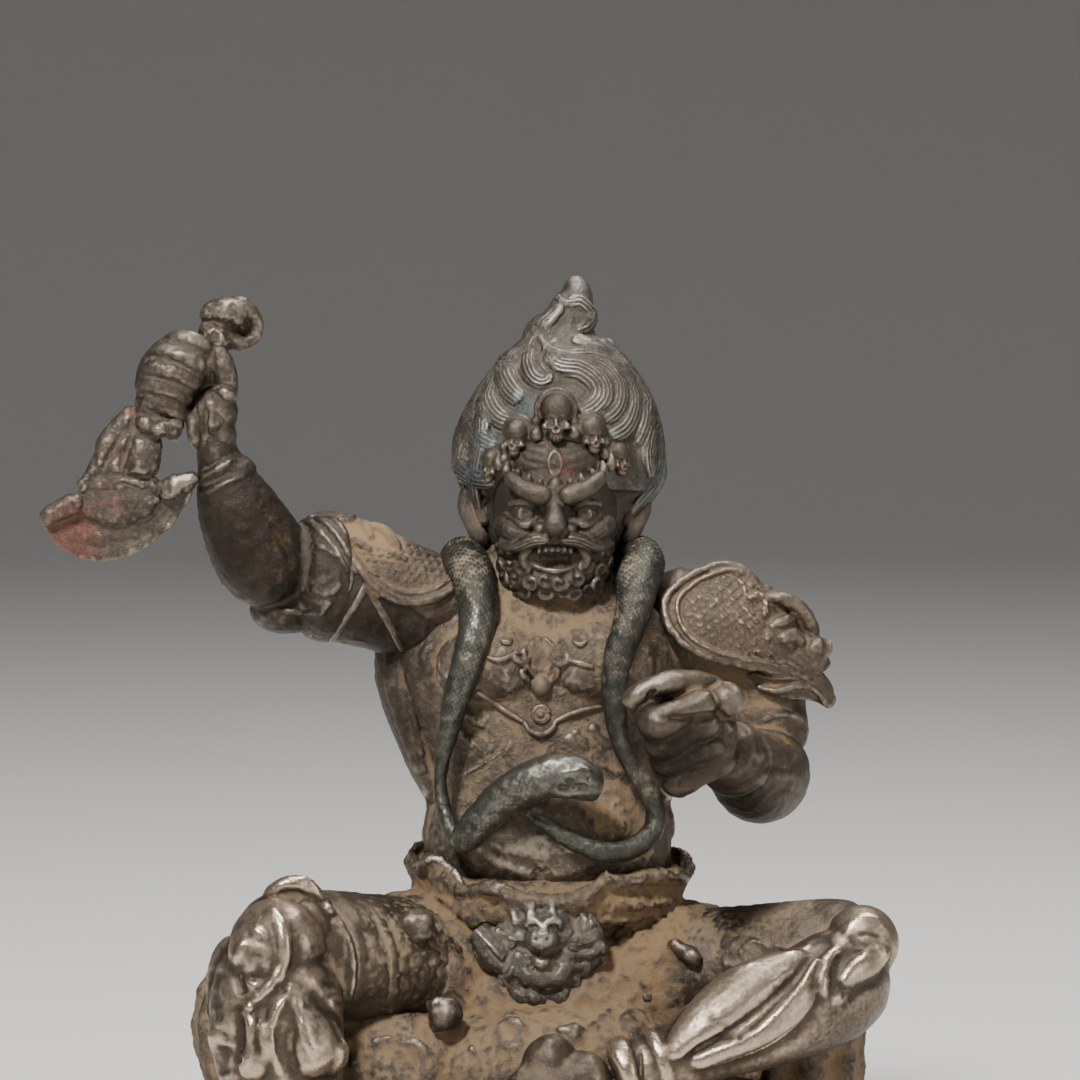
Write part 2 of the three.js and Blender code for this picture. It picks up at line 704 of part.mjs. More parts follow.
function leftArmour() {
  const plate = shoulderPlate({
    centre: [29.4, -8.6, 99.8],
    out: [0.38, -0.88, 0.3],
    top: [-0.3, 0.1, 0.95],
    halfWidth: 12,
    halfHeight: 8,
    bow: 3.2,
  });
  const lowerLayer = roll(
    [
      [29, -10, 90.4, 2.2, 1],
      [35.6, -8.2, 90.6, 2.9, 1.2],
      [41, -4.4, 89, 2.2, 1],
      [43.4, -2, 85.8, 1, 0.6],
    ],
    { sides: 7, rings: 7, up: [0.2, -0.9, 0.4] },
  );
  return [...plate, ...beastHead([37.6, -8.4, 97.6], [41.4, -8.4, 94.4], 3.6), lowerLayer];
}

// Breast ornament: a pendant with a scroll to either side, over a cord with a ring.
function breastOrnament() {
  const scroll = [
    [1.6, -15, 93.4, 1.1],
    [4.2, -15.2, 95.4, 1],
    [6.2, -15, 94.2, 0.9],
    [9.8, -14, 95, 0.6],
  ];
  const cord = [
    [1.6, -14.8, 84.4, 0.8],
    [5.6, -15, 86.4, 0.75],
    [11, -13.2, 88.6, 0.7],
  ];
  const round = (points) => rolls(points, { sides: 6, rings: 6, up: [0, -1, 0] });
  return [
    ball([-0.6, -13.6, 94.4], [3, 2, 3.6], { around: 7, rings: 5 }),
    ball([-0.6, -14.6, 90], [2, 1.7, 2], { around: 7, rings: 5 }),
    ball([-0.6, -14, 84.4], [2.5, 1.5, 2.3], { around: 7, rings: 5 }),
    ...round(bothSides(-0.6, scroll)),
    ...round(bothSides(-0.6, cord)),
  ];
}

// Clothes

// The turned-out top edge of the skirt: a thick cloth band that flares upward in waves, high at
// the hips and low in front, where the belt mask hangs.
function collar() {
  const { halfWidth, halfDepth, low, high, waves } = COLLAR;
  const ring = new THREE.TorusGeometry(2, 1, 8, 84);
  return solid(
    reshaped(ring, (x, y, z) => {
      const angle = Math.atan2(y, x);
      const front = Math.max(0, -Math.sin(angle)) ** 2;
      const wave = Math.cos(waves * angle + 0.6);
      const top = high - 5.4 * front + 0.8 * wave;
      const out = Math.hypot(x, y) - 2;
      const rise = (z + 1) / 2;
      const flare = 1 + 0.17 * rise ** 2 * (1 + 0.35 * wave);
      const thick = out > 0 ? 1.1 : -1.9;
      const reach = Math.abs(out) * thick;
      return vector(
        (halfWidth * flare + reach) * Math.cos(angle),
        -0.6 + (halfDepth * flare + reach) * Math.sin(angle),
        low - 1.6 * front + (top - low) * rise,
      );
    }),
  );
}

function skirt() {
  const lap = [
    ball([0, -4, 42], [25, 17, 13], { around: 12, rings: 7 }),
    ball([0, -17, 36], [20, 15, 8.6], { around: 10, rings: 6 }),
  ];
  // cloth that hangs outside each knee
  const falls = rolls(
    [
      [
        [-41, -18, 55, 5, 7],
        [-46.4, -21, 49, 5.6, 9],
        [-46.6, -21, 39, 5, 10],
        [-43, -18, 27, 3.6, 9],
      ],
      [
        [38, -11, 47, 8, 7],
        [39, -12, 39, 7.6, 8.6],
        [38, -12, 30, 8.4, 11],
        [37, -11, 20, 9.6, 12.6],
      ],
    ],
    { sides: 20, rings: 7, up: [0, -1, 0], swell: (angle) => 1 + 0.08 * Math.cos(8 * angle) },
  );
  const knobs = [
    [[-18.4, -14.6, 55.2], [-20, -19, 54.4], 2.7],
    [[-13, -24, 46], [-14.6, -28.8, 44.8], 2.5],
    [[19, -14, 51.8], [21.6, -18.4, 50.8], 1.8],
  ].map(([from, to, size]) => roll([[...from, size], [...to, size]], { sides: 7, rings: 4 }));
  const gathered = (angle, share) => {
    const depth = 0.07 * smoothstep(share, 0.1, 0.8);
    return 1 + depth * Math.cos(SKIRT_FOLDS * angle + 2 * Math.sin(3 * angle));
  };
  const drape = roll(
    [
      [0, 3, 57, 18, 15],
      [0, 3.4, 50, 21.6, 17.4],
      [0, 4, 41, 25, 19.6],
      [0, 4.6, 31, 28, 21.4],
      [0, 5, 23.6, 29.4, 22],
    ],
    { sides: 38, rings: 8, up: [0, 1, 0], swell: gathered },
  );
  return [...lap, ...falls, ...knobs, drape, collar()];
}

// The lion mask on the belt: brow, cheeks, snout and jaw inside a ring of mane.
function lionMask() {
  const [x, y, z] = [-0.4, -18.6, 53.2];
  const lumps = [
    ball([x, y + 1, z - 0.4], [7, 4.2, 8.4], { around: 10, rings: 7 }),
    ball([x, y - 3.2, z + 1.6], [1.9, 1.8, 3.2], { around: 7, rings: 5 }),
    ball([x, y - 3.6, z - 1.6], [2.9, 2, 1.7], { around: 7, rings: 5 }),
    ball([x, y - 1.8, z - 7.2], [3.6, 2.6, 2], { around: 7, rings: 5 }),
  ];
  const brow = [
    [0.6, y - 2.8, z + 3.2, 1],
    [3.2, y - 3, z + 4.6, 1.5],
    [6.4, y - 1.2, z + 5, 1],
  ];
  const cheek = [
    [2.2, y - 2.8, z - 2.6, 1.5],
    [4.6, y - 2.2, z - 1.8, 1.9],
    [6.6, y - 0.6, z + 0.2, 1.2],
  ];
  const lip = [
    [0.4, y - 3, z - 4, 0.9],
    [3.2, y - 2.4, z - 5, 1.2],
    [5, y - 0.8, z - 7, 0.8],
  ];
  const paired = [brow, cheek, lip].flatMap((stations) => rolls(bothSides(x, stations), { sides: 6, rings: 5 }));
  const ears = [-1, 1].map((side) =>
    ball([x + side * 4.6, y - 0.8, z + 6.8], [1.5, 1.4, 1.9], { turn: [0, side * 20, 0], around: 6, rings: 4 }),
  );
  const mane = [-1, 1].flatMap((side) =>
    [0, 1, 2, 3, 4].map((k) => {
      const bearing = 24 - 26 * k;
      const reach = 8.2 - 0.3 * k;
      const tip = [x + side * reach * Math.cos(rad(bearing)), y + 1, z - 0.8 + reach * Math.sin(rad(bearing))];
      return ball(tip, [3.2, 1.9, 1.7], { turn: [0, side > 0 ? -bearing : bearing, 0], around: 8, rings: 5 });
    }),
  );
  const ribbon = roll(
    [
      [x - 7, y + 1.6, z + 3.4, 2, 1.2],
      [x - 12.8, y + 2.2, z + 2, 2.8, 1.3],
      [x - 14, y + 1.4, z - 2.6, 2.2, 1.2],
      [x - 9.6, y - 0.6, z - 5.4, 1.2, 1],
    ],
    { sides: 7, rings: 7, up: [0, -1, 0] },
  );
  return [...lumps, ...paired, ...ears, ...mane, ribbon];
}

// Legs

const RIGHT_THIGH = [
  [-9, 0, 46, 13, 11.6],
  [-21, -9, 47.8, 12.4, 10.6],
  [-31, -20, 51.4, 10.6, 9.6],
  [-37, -27, 53.4, 8.6, 9],
];

function rightLeg() {
  const thigh = roll(RIGHT_THIGH, { sides: 10, rings: 8 });
  const shin = roll(
    [
      [-37.6, -27.4, 55.6, 8, 8],
      [-39, -30.4, 47, 9.6, 9],
      [-38.4, -30.4, 36, 9, 8.6],
      [-37, -28.4, 25, 6.6, 6.8],
      [-36, -26.6, 14, 5, 5.4],
    ],
    { sides: 10, rings: 9, up: [0, -1, 0] },
  );
  const kneeTop = ball([-37.4, -25.4, 57.4], [7, 7, 5.2], { around: 9 });
  const kneeRoll = roll(
    [
      [-43.8, -25, 56.4, 1.4],
      [-40.6, -27.6, 60.8, 2.3],
      [-35.4, -26.4, 62.4, 2.5],
      [-31.6, -22.6, 60, 1.8],
    ],
    { sides: 7, rings: 8 },
  );
  // the polished knee and the long smooth folds of the trouser leg
  const folds = rolls(
    [
      [
        [-42.6, -34.4, 56, 1.8],
        [-44.6, -36.6, 50, 2.4],
        [-42, -38.6, 44, 1.6],
      ],
      [
        [-37.6, -37.6, 53, 1.2],
        [-36.6, -39.4, 46.6, 1.8],
        [-40.4, -39.6, 41.4, 1.4],
      ],
      [
        [-35, -37.8, 44.4, 1.8],
        [-33.6, -39, 38, 2.8],
        [-33.4, -37, 28, 1.8],
      ],
      [
        [-42.4, -38, 41, 1.6],
        [-40.6, -38.6, 33, 2.2],
        [-38.4, -35.6, 24, 1.4],
      ],
      [
        [-30.6, -32.4, 49, 1.2],
        [-29.6, -35, 41, 1.8],
        [-30.6, -34, 31, 1.4],
      ],
    ],
    { sides: 7, rings: 6, up: [0, -1, 0] },
  );
  // double hems of the cloth over the thigh
  const hems = [0.44, 0.5, 0.66, 0.72].map((share) =>
    band(RIGHT_THIGH, share, { from: 70, to: 235, size: 0.95, lean: 0.06 }),
  );
  return [thigh, shin, kneeTop, kneeRoll, ...folds, ...hems, ...boot()];
}

// The right foot, flat on the plinth.
function boot() {
  const sole = PLINTH.height;
  const body = roll(
    [
      [-35.6, -21.6, sole + 4.4, 4.6, 5.4],
      [-36.8, -29, sole + 4.2, 5.4, 5.4],
      [-38.4, -36, sole + 2.4, 5.8, 4],
      [-39.4, -42, sole + 1.8, 4.4, 2.8],
    ],
    { sides: 9, rings: 8 },
  );
  const ankleBand = roll(
    [
      [-36.2, -27, sole + 11, 6.2, 6.6],
      [-36.2, -27, sole + 8.6, 6.2, 6.6],
    ],
    { sides: 10, rings: 5, up: [0, -1, 0] },
  );
  return [body, ankleBand];
}

function leftLeg() {
  const thigh = roll(
    [
      [9, 0, 46, 13, 10.8],
      [21, -5, 46.8, 11.6, 9.8],
      [33, -10.6, 50.2, 9.6, 9],
      [43.4, -16.4, 51.4, 7.6, 8],
    ],
    { sides: 10, rings: 8 },
  );
  const shin = roll(
    [
      [45, -16.4, 50.6, 6.8, 7.6],
      [41.6, -22.6, 47.6, 7.6, 8.4],
      [32, -29, 44.4, 7, 7.6],
      [22, -32.8, 41.6, 5.6, 5.8],
      [11, -35, 39.2, 4.6, 4.8],
    ],
    { sides: 10, rings: 9 },
  );
  const kneecap = ball([46.4, -20.6, 53], [5, 4.4, 5], { around: 9, rings: 6 });
  const folds = rolls(
    [
      [
        [41.6, -28, 52, 1.8],
        [33, -34.6, 48, 2.6],
        [22, -37, 43, 1.4],
      ],
      [
        [43, -27.6, 48.4, 1.4],
        [36, -34, 43.4, 2],
        [25, -37, 39, 1.2],
      ],
      [
        [43.4, -24.6, 57, 1.4],
        [46.6, -26.6, 52, 1.8],
        [43, -29, 46.4, 1.4],
      ],
      [
        [46, -20, 45, 2],
        [39, -27, 40.4, 2.8],
        [29, -32, 36.6, 1.8],
      ],
      [
        [38, -20.6, 58, 1.2],
        [32, -25, 54.4, 1.6],
        [26, -28, 49.6, 1],
      ],
    ],
    { sides: 7, rings: 7 },
  );
  const anklet = [0, 1].map((k) =>
    roll(
      [
        [14.8 - 3.4 * k, -34.4, 40 - 0.8 * k, 5.8],
        [12.6 - 3.4 * k, -34.8, 39.6 - 0.8 * k, 5.8],
      ],
      { sides: 10, rings: 4 },
    ),
  );
  const shoe = roll(
    [
      [10, -35, 38.8, 4.6, 5],
      [2.6, -35.6, 37.8, 5.2, 5.6],
      [-5.4, -36, 36.4, 5, 4.6],
      [-12.6, -36.4, 36, 3.2, 2.8],
    ],
    { sides: 9, rings: 7 },
  );
  return [thigh, shin, kneecap, ...folds, ...anklet, shoe];
}

// The rock seat: angular boulders that lean together, cut off flat on the plinth.
function seat() {
  const boulders = [
    [[2, -1, 20], [35, 25, 17]],
    [[21, -22, 19], [26, 16, 15]],
    [[-10, -24, 16], [18, 15, 14]],
    [[-25, -1, 17], [17, 21, 15]],
    [[33, -4, 16], [17, 19, 16]],
    [[4, 13, 18], [29, 16, 16]],
    [[4, -33, 12], [15, 10, 13]],
  ];
  return boulders.map(([centre, radii], k) => {
    const chip = (x, y, z) =>
      1 + 0.13 * Math.sin(4 * x + 2.1 * k) * Math.cos(3.7 * y - 1.3 * k) + 0.1 * Math.sin(6.1 * z + 2.2 * x + k);
    return solid(
      reshaped(new THREE.IcosahedronGeometry(1, 1), (x, y, z) => {
        const size = chip(x, y, z);
        return vector(
          centre[0] + radii[0] * size * x,
          centre[1] + radii[1] * size * y,
          centre[2] + radii[2] * size * z,
        );
      }),
    );
  });
}

// The pieces

async function figure() {
  const regions = [
    await simplified([...face(), ...hair(), ...crown()], KEPT.head),
    await simplified([...rightArm(), ...knife(), ...rightArmour()], KEPT.rightArm),
    await simplified([...leftArm(), ...leftArmour()], KEPT.leftArm),
    await simplified([...torso(), ...snake(), ...breastOrnament()], KEPT.torso),
    await simplified([...skirt(), ...lionMask(), ...rightLeg(), ...leftLeg()], KEPT.lap),
    ...seat(),
  ];
  const whole = await simplified(regions, KEPT.figure);
  const below = new THREE.BoxGeometry(200, 200, 60).translate(0, 0, PLINTH.height - 30);
  return outerShell(whole.subtract(solid(below))).translate(0, STANCE, 0);
}

// A low block, oval towards its corners, with a plain foot, a hollowed waist and a flat top.
function plinth() {
  const { height, halfWidth, halfDepth, squareness } = PLINTH;
  const profile = [
    [0, 0],
    [1, 0],
    [1, 0.2],
    [0.955, 0.34],
    [0.95, 0.62],
    [0.985, 0.76],
    [0.98, 0.94],
    [0.965, 1],
    [0, 1],
  ].map(([reach, rise]) => new THREE.Vector2(reach, rise * height));
  return reshaped(new THREE.LatheGeometry(profile, 40), (x, y, z) => {
    const reach = Math.hypot(x, z);
    if (reach === 0) return vector(0, 0, y);
    const [c, s] = [x / reach, -z / reach];
    const bulge = (Math.abs(c) ** squareness + Math.abs(s) ** squareness) ** (-1 / squareness);
    return vector(c * bulge * reach * halfWidth, s * bulge * reach * halfDepth, y);
  });
}

const copper = new THREE.MeshStandardMaterial({ color: 0x5a4a3a, roughness: 0.5, metalness: 0.8 });
const darkCopper = new THREE.MeshStandardMaterial({ color: 0x3f342a, roughness: 0.55, metalness: 0.8 });

const statue = new THREE.Group();
const figureMesh = new THREE.Mesh(geometryOf(await figure()), copper);
figureMesh.name = "seated_figure";
const plinthMesh = new THREE.Mesh(plinth(), darkCopper);
plinthMesh.name = "plinth";
statue.add(figureMesh, plinthMesh);

export default statue;
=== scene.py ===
# %% [markdown]
# # A seated guardian, cast in copper
#
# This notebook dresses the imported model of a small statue: a wrathful guardian on a rock seat,
# with a raised knife, a snake round its neck, armour on its shoulders and a lion mask on its belt.
# The real one is made by lost wax. A modeller builds it from rolls, balls and thin sheets of wax,
# presses them together, scratches the fine lines in, and a caster turns the wax into copper.
# The script goes the same way: simple bmesh forms are melted into one skin with a voxel remesh,
# and the fine lines are chased in afterwards by moving vertices.

# %% The frame
import math

import bmesh
import bpy
import numpy as np
from mathutils import Matrix, Vector, noise
from mathutils.bvhtree import BVHTree


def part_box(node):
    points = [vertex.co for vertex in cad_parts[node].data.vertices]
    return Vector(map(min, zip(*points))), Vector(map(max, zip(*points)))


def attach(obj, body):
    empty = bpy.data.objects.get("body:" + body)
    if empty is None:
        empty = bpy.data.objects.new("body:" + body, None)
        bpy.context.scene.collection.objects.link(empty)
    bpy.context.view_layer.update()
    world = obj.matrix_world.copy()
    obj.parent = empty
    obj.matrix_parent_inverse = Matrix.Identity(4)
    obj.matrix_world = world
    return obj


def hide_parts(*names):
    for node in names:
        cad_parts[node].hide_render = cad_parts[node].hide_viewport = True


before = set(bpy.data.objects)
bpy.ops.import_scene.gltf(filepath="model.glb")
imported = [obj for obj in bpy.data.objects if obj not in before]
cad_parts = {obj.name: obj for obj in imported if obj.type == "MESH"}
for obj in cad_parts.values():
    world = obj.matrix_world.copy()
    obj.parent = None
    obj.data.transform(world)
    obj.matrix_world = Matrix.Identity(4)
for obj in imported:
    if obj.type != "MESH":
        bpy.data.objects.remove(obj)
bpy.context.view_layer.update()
figure_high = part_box("seated_figure")[1]
plinth_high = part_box("plinth")[1]

# %% [markdown]
# The figure is laid out in millimetres round its own spine, as a modeller would measure it. Its
# spine stands a little behind the plinth's middle, and everything is turned into metres only when
# a piece is finished.

# %% Sizes that the rest is worked out from
MM = 0.001
SPINE = (0.0, 8.0, 0.0)  # where the spine stands in the row's frame
TOP = figure_high.z / MM  # the tip of the topknot
SOLE = plinth_high.z / MM  # the plinth's top, where foot and rocks stand
FINGER = 1.95  # half the thickness of a finger
FRONT = (0, -1, 0)
UP = (0, 0, 1)
rad = math.radians
rng = np.random.default_rng(7)


# %% [markdown]
# ## Lines and sections
#
# A limb is a smooth line through a few stations. Each station holds a point and the half width and
# half height of the wax there. A Catmull-Rom line goes through every station, so the modeller can
# measure the stations on the photograph and trust them. Most of them are written as text: one
# station is a few numbers, and a comma or a new line ends it.


# %% Rows of numbers
def table(rows):
    """Rows of numbers from text, or from a list that holds them already."""
    if isinstance(rows, str):
        rows = [row.split() for row in rows.replace("\n", ",").split(",") if row.strip()]
    return [[float(n) for n in row] for row in rows]


def rows_of(text):
    """The rows of a text. A comma at the end of a line carries the row on."""
    return text.replace(",\n", ",").strip().splitlines()


def drawn(text):
    """For each row of text the line of places before its colon, and the numbers after it."""
    for row in rows_of(text):
        line, _, numbers = row.partition(":")
        yield [table(line), *map(float, numbers.split())]


# %% A smooth line through stations
def spline(points):
    """A smooth line through points, as a function of shares from 0 to 1."""
    p = np.asarray(points, float)
    padded = np.vstack([2 * p[0] - p[1], p, 2 * p[-1] - p[-2]])

    def at(share):
        steps = np.clip(np.asarray(share, float), 0, 1) * (len(p) - 1)
        k = np.minimum(steps.astype(int), len(p) - 2)
        t = (steps - k)[..., None]
        a, b, c, d = (padded[k + i] for i in range(4))
        return b + 0.5 * t * (c - a + t * (2 * a - 5 * b + 4 * c - d + t * (3 * b - a - 3 * c + d)))

    return at


def unit(v):
    return v / np.maximum(np.linalg.norm(v, axis=-1, keepdims=True), 1e-9)


def limb(stations, up=None):
    """Centre, two directions across and half sizes along stations of [x, y, z, half, half]."""
    rows = [s + [s[3]] * (5 - len(s)) for s in table(stations)]
    line, girth = spline([r[:3] for r in rows]), spline([r[3:5] for r in rows])
    if up is None:
        run = np.subtract(rows[-1][:3], rows[0][:3])
        up = FRONT if abs(run[2]) > math.hypot(run[0], run[1]) else UP
    grid = np.linspace(0, 1, 80)
    length = np.linalg.norm(np.diff(line(grid), axis=0), axis=1).sum()

    def section(share):
        share = np.asarray(share, float)
        tangent = unit(line(np.minimum(share + 1e-3, 1)) - line(np.maximum(share - 1e-3, 0)))
        side = unit(np.cross(np.broadcast_to(up, tangent.shape), tangent))
        return line(share), side, np.cross(tangent, side), girth(share)

    return length, section


# %% [markdown]
# ## Wax forms
#
# Every form starts as a UV sphere from bmesh, because a sphere is closed and has a clear row of
# rings to draw out. A ball is only scaled and turned. A roll has its rings spread along a limb,
# with the first few bunched into a round end.


# %% Rolls and balls
def sphere(sides, rings):
    bm = bmesh.new()
    bmesh.ops.create_uvsphere(bm, u_segments=sides, v_segments=rings, radius=1.0)
    return bm


def coordinates(bm):
    return np.array([v.co for v in bm.verts])


def place(bm, co):
    for v, p in zip(bm.verts, co):
        v.co = p
    return bm


def roll(stations, sides=16, rings=36, up=None, swell=None, cap=4):
    """A bar drawn out along stations, with `cap` rings in each round end.

    swell(angle, share) scales its section.
    """
    length, section = limb(stations, up)
    bm = sphere(sides, rings)
    co = coordinates(bm)
    ring = np.round(np.arccos(np.clip(co[:, 2], -1, 1)) / math.pi * rings)
    angle = -np.arctan2(co[:, 1], co[:, 0])
    ends = [min(0.3, 0.9 * section(s)[3][0] / length) for s in (0.0, 1.0)]
    near, far = np.minimum(ring, cap) / cap, np.minimum(rings - ring, cap) / cap
    share = ends[0] * (1 - np.cos(near * math.pi / 2))
    share += (1 - ends[0] - ends[1]) * np.clip((ring - cap) / (rings - 2 * cap), 0, 1)
    share += ends[1] * np.sin((1 - far) * math.pi / 2)
    full = np.sin(near * math.pi / 2) * np.sin(far * math.pi / 2)
    if swell is not None:
        full = full * swell(angle, share)
    centre, side, lift, half = section(share)
    out = side * (np.cos(angle) * half[:, 0])[:, None] + lift * (np.sin(angle) * half[:, 1])[:, None]
    return place(bm, centre + out * full[:, None])


def ball(centre, radii, turn=(0, 0, 0), sides=20, rings=14):
    """An ellipsoid, turned by degrees about X, then Y, then Z."""
    bm = sphere(sides, rings)
    spin = [Matrix.Rotation(rad(a), 4, axis) for a, axis in zip(turn, "XYZ")]
    at = Matrix.Translation(centre) @ spin[2] @ spin[1] @ spin[0] @ Matrix.Diagonal((*radii, 1.0))
    bmesh.ops.transform(bm, matrix=at, verts=bm.verts)
    return bm


def both(axis, stations):
    """The stations for each side of the body, with X mirrored about the line x = axis."""
    return [[[axis + side * s[0], *s[1:]] for s in table(stations)] for side in (-1, 1)]


def hoop(points, size, up=None, sides=12, rings=48):
    """A closed ring of wax: a roll whose end runs a little way over its start."""
    stations = [[*p, size] for p in [*points, points[0], points[1]]]
    return roll(stations, sides=sides, rings=rings, up=up)


# %% [markdown]
# ## Casting
#
# To cast a piece, its forms go into one mesh, and the Remesh modifier in voxel mode keeps only the
# outer skin, just as wax forms lose their inner walls when they are pressed together. The Smooth
# modifier then rounds the creases the way a warm thumb would. The voxel size decides how fine a
# line the skin can hold, so the face gets small voxels and the rock seat large ones.


# %% Melt forms into one skin
def shade_smooth(mesh):
    mesh.polygons.foreach_set("use_smooth", np.ones(len(mesh.polygons), bool))


def gather(name, forms):
    """Forms joined into one mesh as they are, without a remesh."""
    whole = bmesh.new()
    for form in forms:
        part = bpy.data.meshes.new("form")
        form.to_mesh(part)
        form.free()
        whole.from_mesh(part)
        bpy.data.meshes.remove(part)
    mesh = bpy.data.meshes.new(name)
    whole.to_mesh(mesh)
    whole.free()
    shade_smooth(mesh)
    skin = bpy.data.objects.new(name, mesh)
    bpy.context.scene.collection.objects.link(skin)
    return skin


def apply_modifiers(skin):
    """Puts the mesh that the modifiers give in place of the skin's own, under the same name."""
    mesh = skin.data
    name = mesh.name
    finished = bpy.data.meshes.new_from_object(skin.evaluated_get(bpy.context.evaluated_depsgraph_get()))
    skin.modifiers.clear()
    skin.data = finished
    bpy.data.meshes.remove(mesh)
    finished.name = name
    shade_smooth(finished)


def melt(name, forms, voxel, smooth):
    """One closed skin round all the forms, still in millimetres round the spine."""
    skin = gather(name, forms)
    remesh = skin.modifiers.new("one skin", "REMESH")
    remesh.mode = "VOXEL"
    remesh.voxel_size = voxel
    remesh.adaptivity = 0
    thumb = skin.modifiers.new("thumb", "SMOOTH")
    thumb.factor = 0.5
    thumb.iterations = smooth
    bpy.context.view_layer.update()
    apply_modifiers(skin)
    return skin


# %% [markdown]
# ## Chasing
#
# After casting, a chaser cuts lines into the metal and pushes ridges up. Here a relief is a height
# in millimetres for every vertex, and the vertex moves that far along its own normal.


# %% Move vertices along their normals
def vectors(items, key):
    values = np.empty(len(items) * 3, np.float32)
    items.foreach_get(key, values)
    return values.reshape(-1, 3).astype(float)


def points_of(skin):
    return vectors(skin.data.vertices, "co")


def normals_of(skin):
    return vectors(skin.data.vertex_normals, "vector")


def set_points(skin, co):
    skin.data.vertices.foreach_set("co", co.astype(np.float32).ravel())
    skin.data.update()


def push(skin, height):
    """Moves each vertex out along its normal by a height in mm."""
    set_points(skin, points_of(skin) + normals_of(skin) * np.asarray(height)[:, None])


def away(p, line):
    """Distance to a run of straight pieces, share of the way along it, and +1 on its right hand."""
    line = np.asarray(line, float)
    best, share, side = np.full(len(p), 1e9), np.zeros(len(p)), np.ones(len(p))
    steps = np.linalg.norm(np.diff(line, axis=0), axis=1)
    done = np.concatenate([[0], np.cumsum(steps)])
    for a, b, start, step in zip(line, line[1:], done, steps):
        t = np.clip((p - a) @ (b - a) / max(step**2, 1e-9), 0, 1)
        d = np.linalg.norm(p - a - t[:, None] * (b - a), axis=1)
        closer = d < best
        best[closer] = d[closer]
        share[closer] = ((start + t * step) / done[-1])[closer]
        if line.shape[1] == 2:
            turn = (b - a)[0] * (p - a)[:, 1] - (b - a)[1] * (p - a)[:, 0]
            side[closer] = np.where(turn > 0, 1.0, -1.0)[closer]
    return best, share, side


# %% [markdown]
# Many lines of this figure can be followed on a photograph of it. `seen` turns a place in the
# photograph into a ray through the figure, and `traced` stops each ray of a line on a skin, so that
# a line drawn flat comes to lie on the round form. The numbers are the camera's own: the picture is
# 1080 pixels wide and a pixel covers 0.15 mm at the spine, 600 mm from the lens, 4 degrees below it.


# %% Lines drawn over the photograph
PIXELS = 1080  # the width and the height of the picture
HALF = PIXELS // 2
PIXEL = 0.15  # what a pixel covers at the spine
LENS_REACH = 600  # from the lens to the spine
TILT = rad(4)
AIM = np.array([-1.2, 0.0, 111.0])  # what the camera looks at, on the spine
BACK = np.array([0.0, -math.cos(TILT), math.sin(TILT)])
UPWARD = np.array([0.0, math.sin(TILT), math.cos(TILT)])
LENS = AIM + BACK * LENS_REACH


def seen(px, py):
    """The direction of the ray from the lens through a pixel."""
    card = AIM + np.array([1, 0, 0]) * (px - HALF) * PIXEL + UPWARD * (HALF - py) * PIXEL
    return unit(card - LENS)


def pin(px, py, y):
    """The point at depth y that is seen at a pixel."""
    way = seen(px, py)
    return LENS + way * ((y - LENS[1]) / way[1])


def pinned(text):
    """Rows that start with a pixel and a depth, with the point that is seen there instead."""
    return [[*pin(*row[:3]), *row[3:]] for row in table(text)]


def tree_of(skin):
    bm = bmesh.new()
    bm.from_mesh(skin.data)
    tree = BVHTree.FromBMesh(bm)
    bm.free()
    return tree


def traced(tree, line, count=24):
    """Points and normals where a line of pixels falls on a skin, or comes nearest to it."""
    found = []
    for px, py in spline(line)(np.linspace(0, 1, count)):
        way = seen(px, py)
        hit = tree.ray_cast(Vector(LENS), Vector(way))
        if hit[0] is None:
            hit = tree.find_nearest(Vector(LENS - way * LENS[1] / way[1]))
        found.append((*hit[0], *hit[1]))
    return np.array(found)[:, :3], np.array(found)[:, 3:]


def carry(forms, voxel=0.7):
    """A quick skin of the forms, only to lay further wax on. The forms themselves are kept."""
    under = melt("under", [form.copy() for form in forms], voxel, smooth=2)
    tree = tree_of(under)
    bpy.data.objects.remove(under)
    return tree


def lay(tree, line, flat=0.7, proud=0.15, sides=14, rings=40, swell=None):
    """A roll of wax laid on a skin along a line of [px, py, half width in mm]."""
    rows = np.array(line, float)
    count = max(6, 3 * len(rows))
    at, out = traced(tree, rows[:, :2], count)
    half = spline(rows[:, 2:3])(np.linspace(0, 1, count))[:, 0]
    stations = [[*p, h, flat * h] for p, h in zip(at + out * (proud * half)[:, None], half)]
    return roll(stations, sides, rings, up=tuple(unit(out.mean(axis=0))), swell=swell)


def laid(tree, text, *same):
    """Rolls laid on a skin, one for each row of text, with its own numbers for `lay` or the same ones."""
    return [lay(tree, line, *(numbers or same)) for line, *numbers in drawn(text)]


def pictured(co):
    """The pixel of the photograph where each point is seen."""
    from_lens = co - LENS
    depth = -from_lens @ BACK
    aside, height = (v * LENS_REACH / depth / PIXEL for v in (from_lens[:, 0], from_lens @ UPWARD))
    return np.stack([HALF + aside, HALF - height], axis=1)


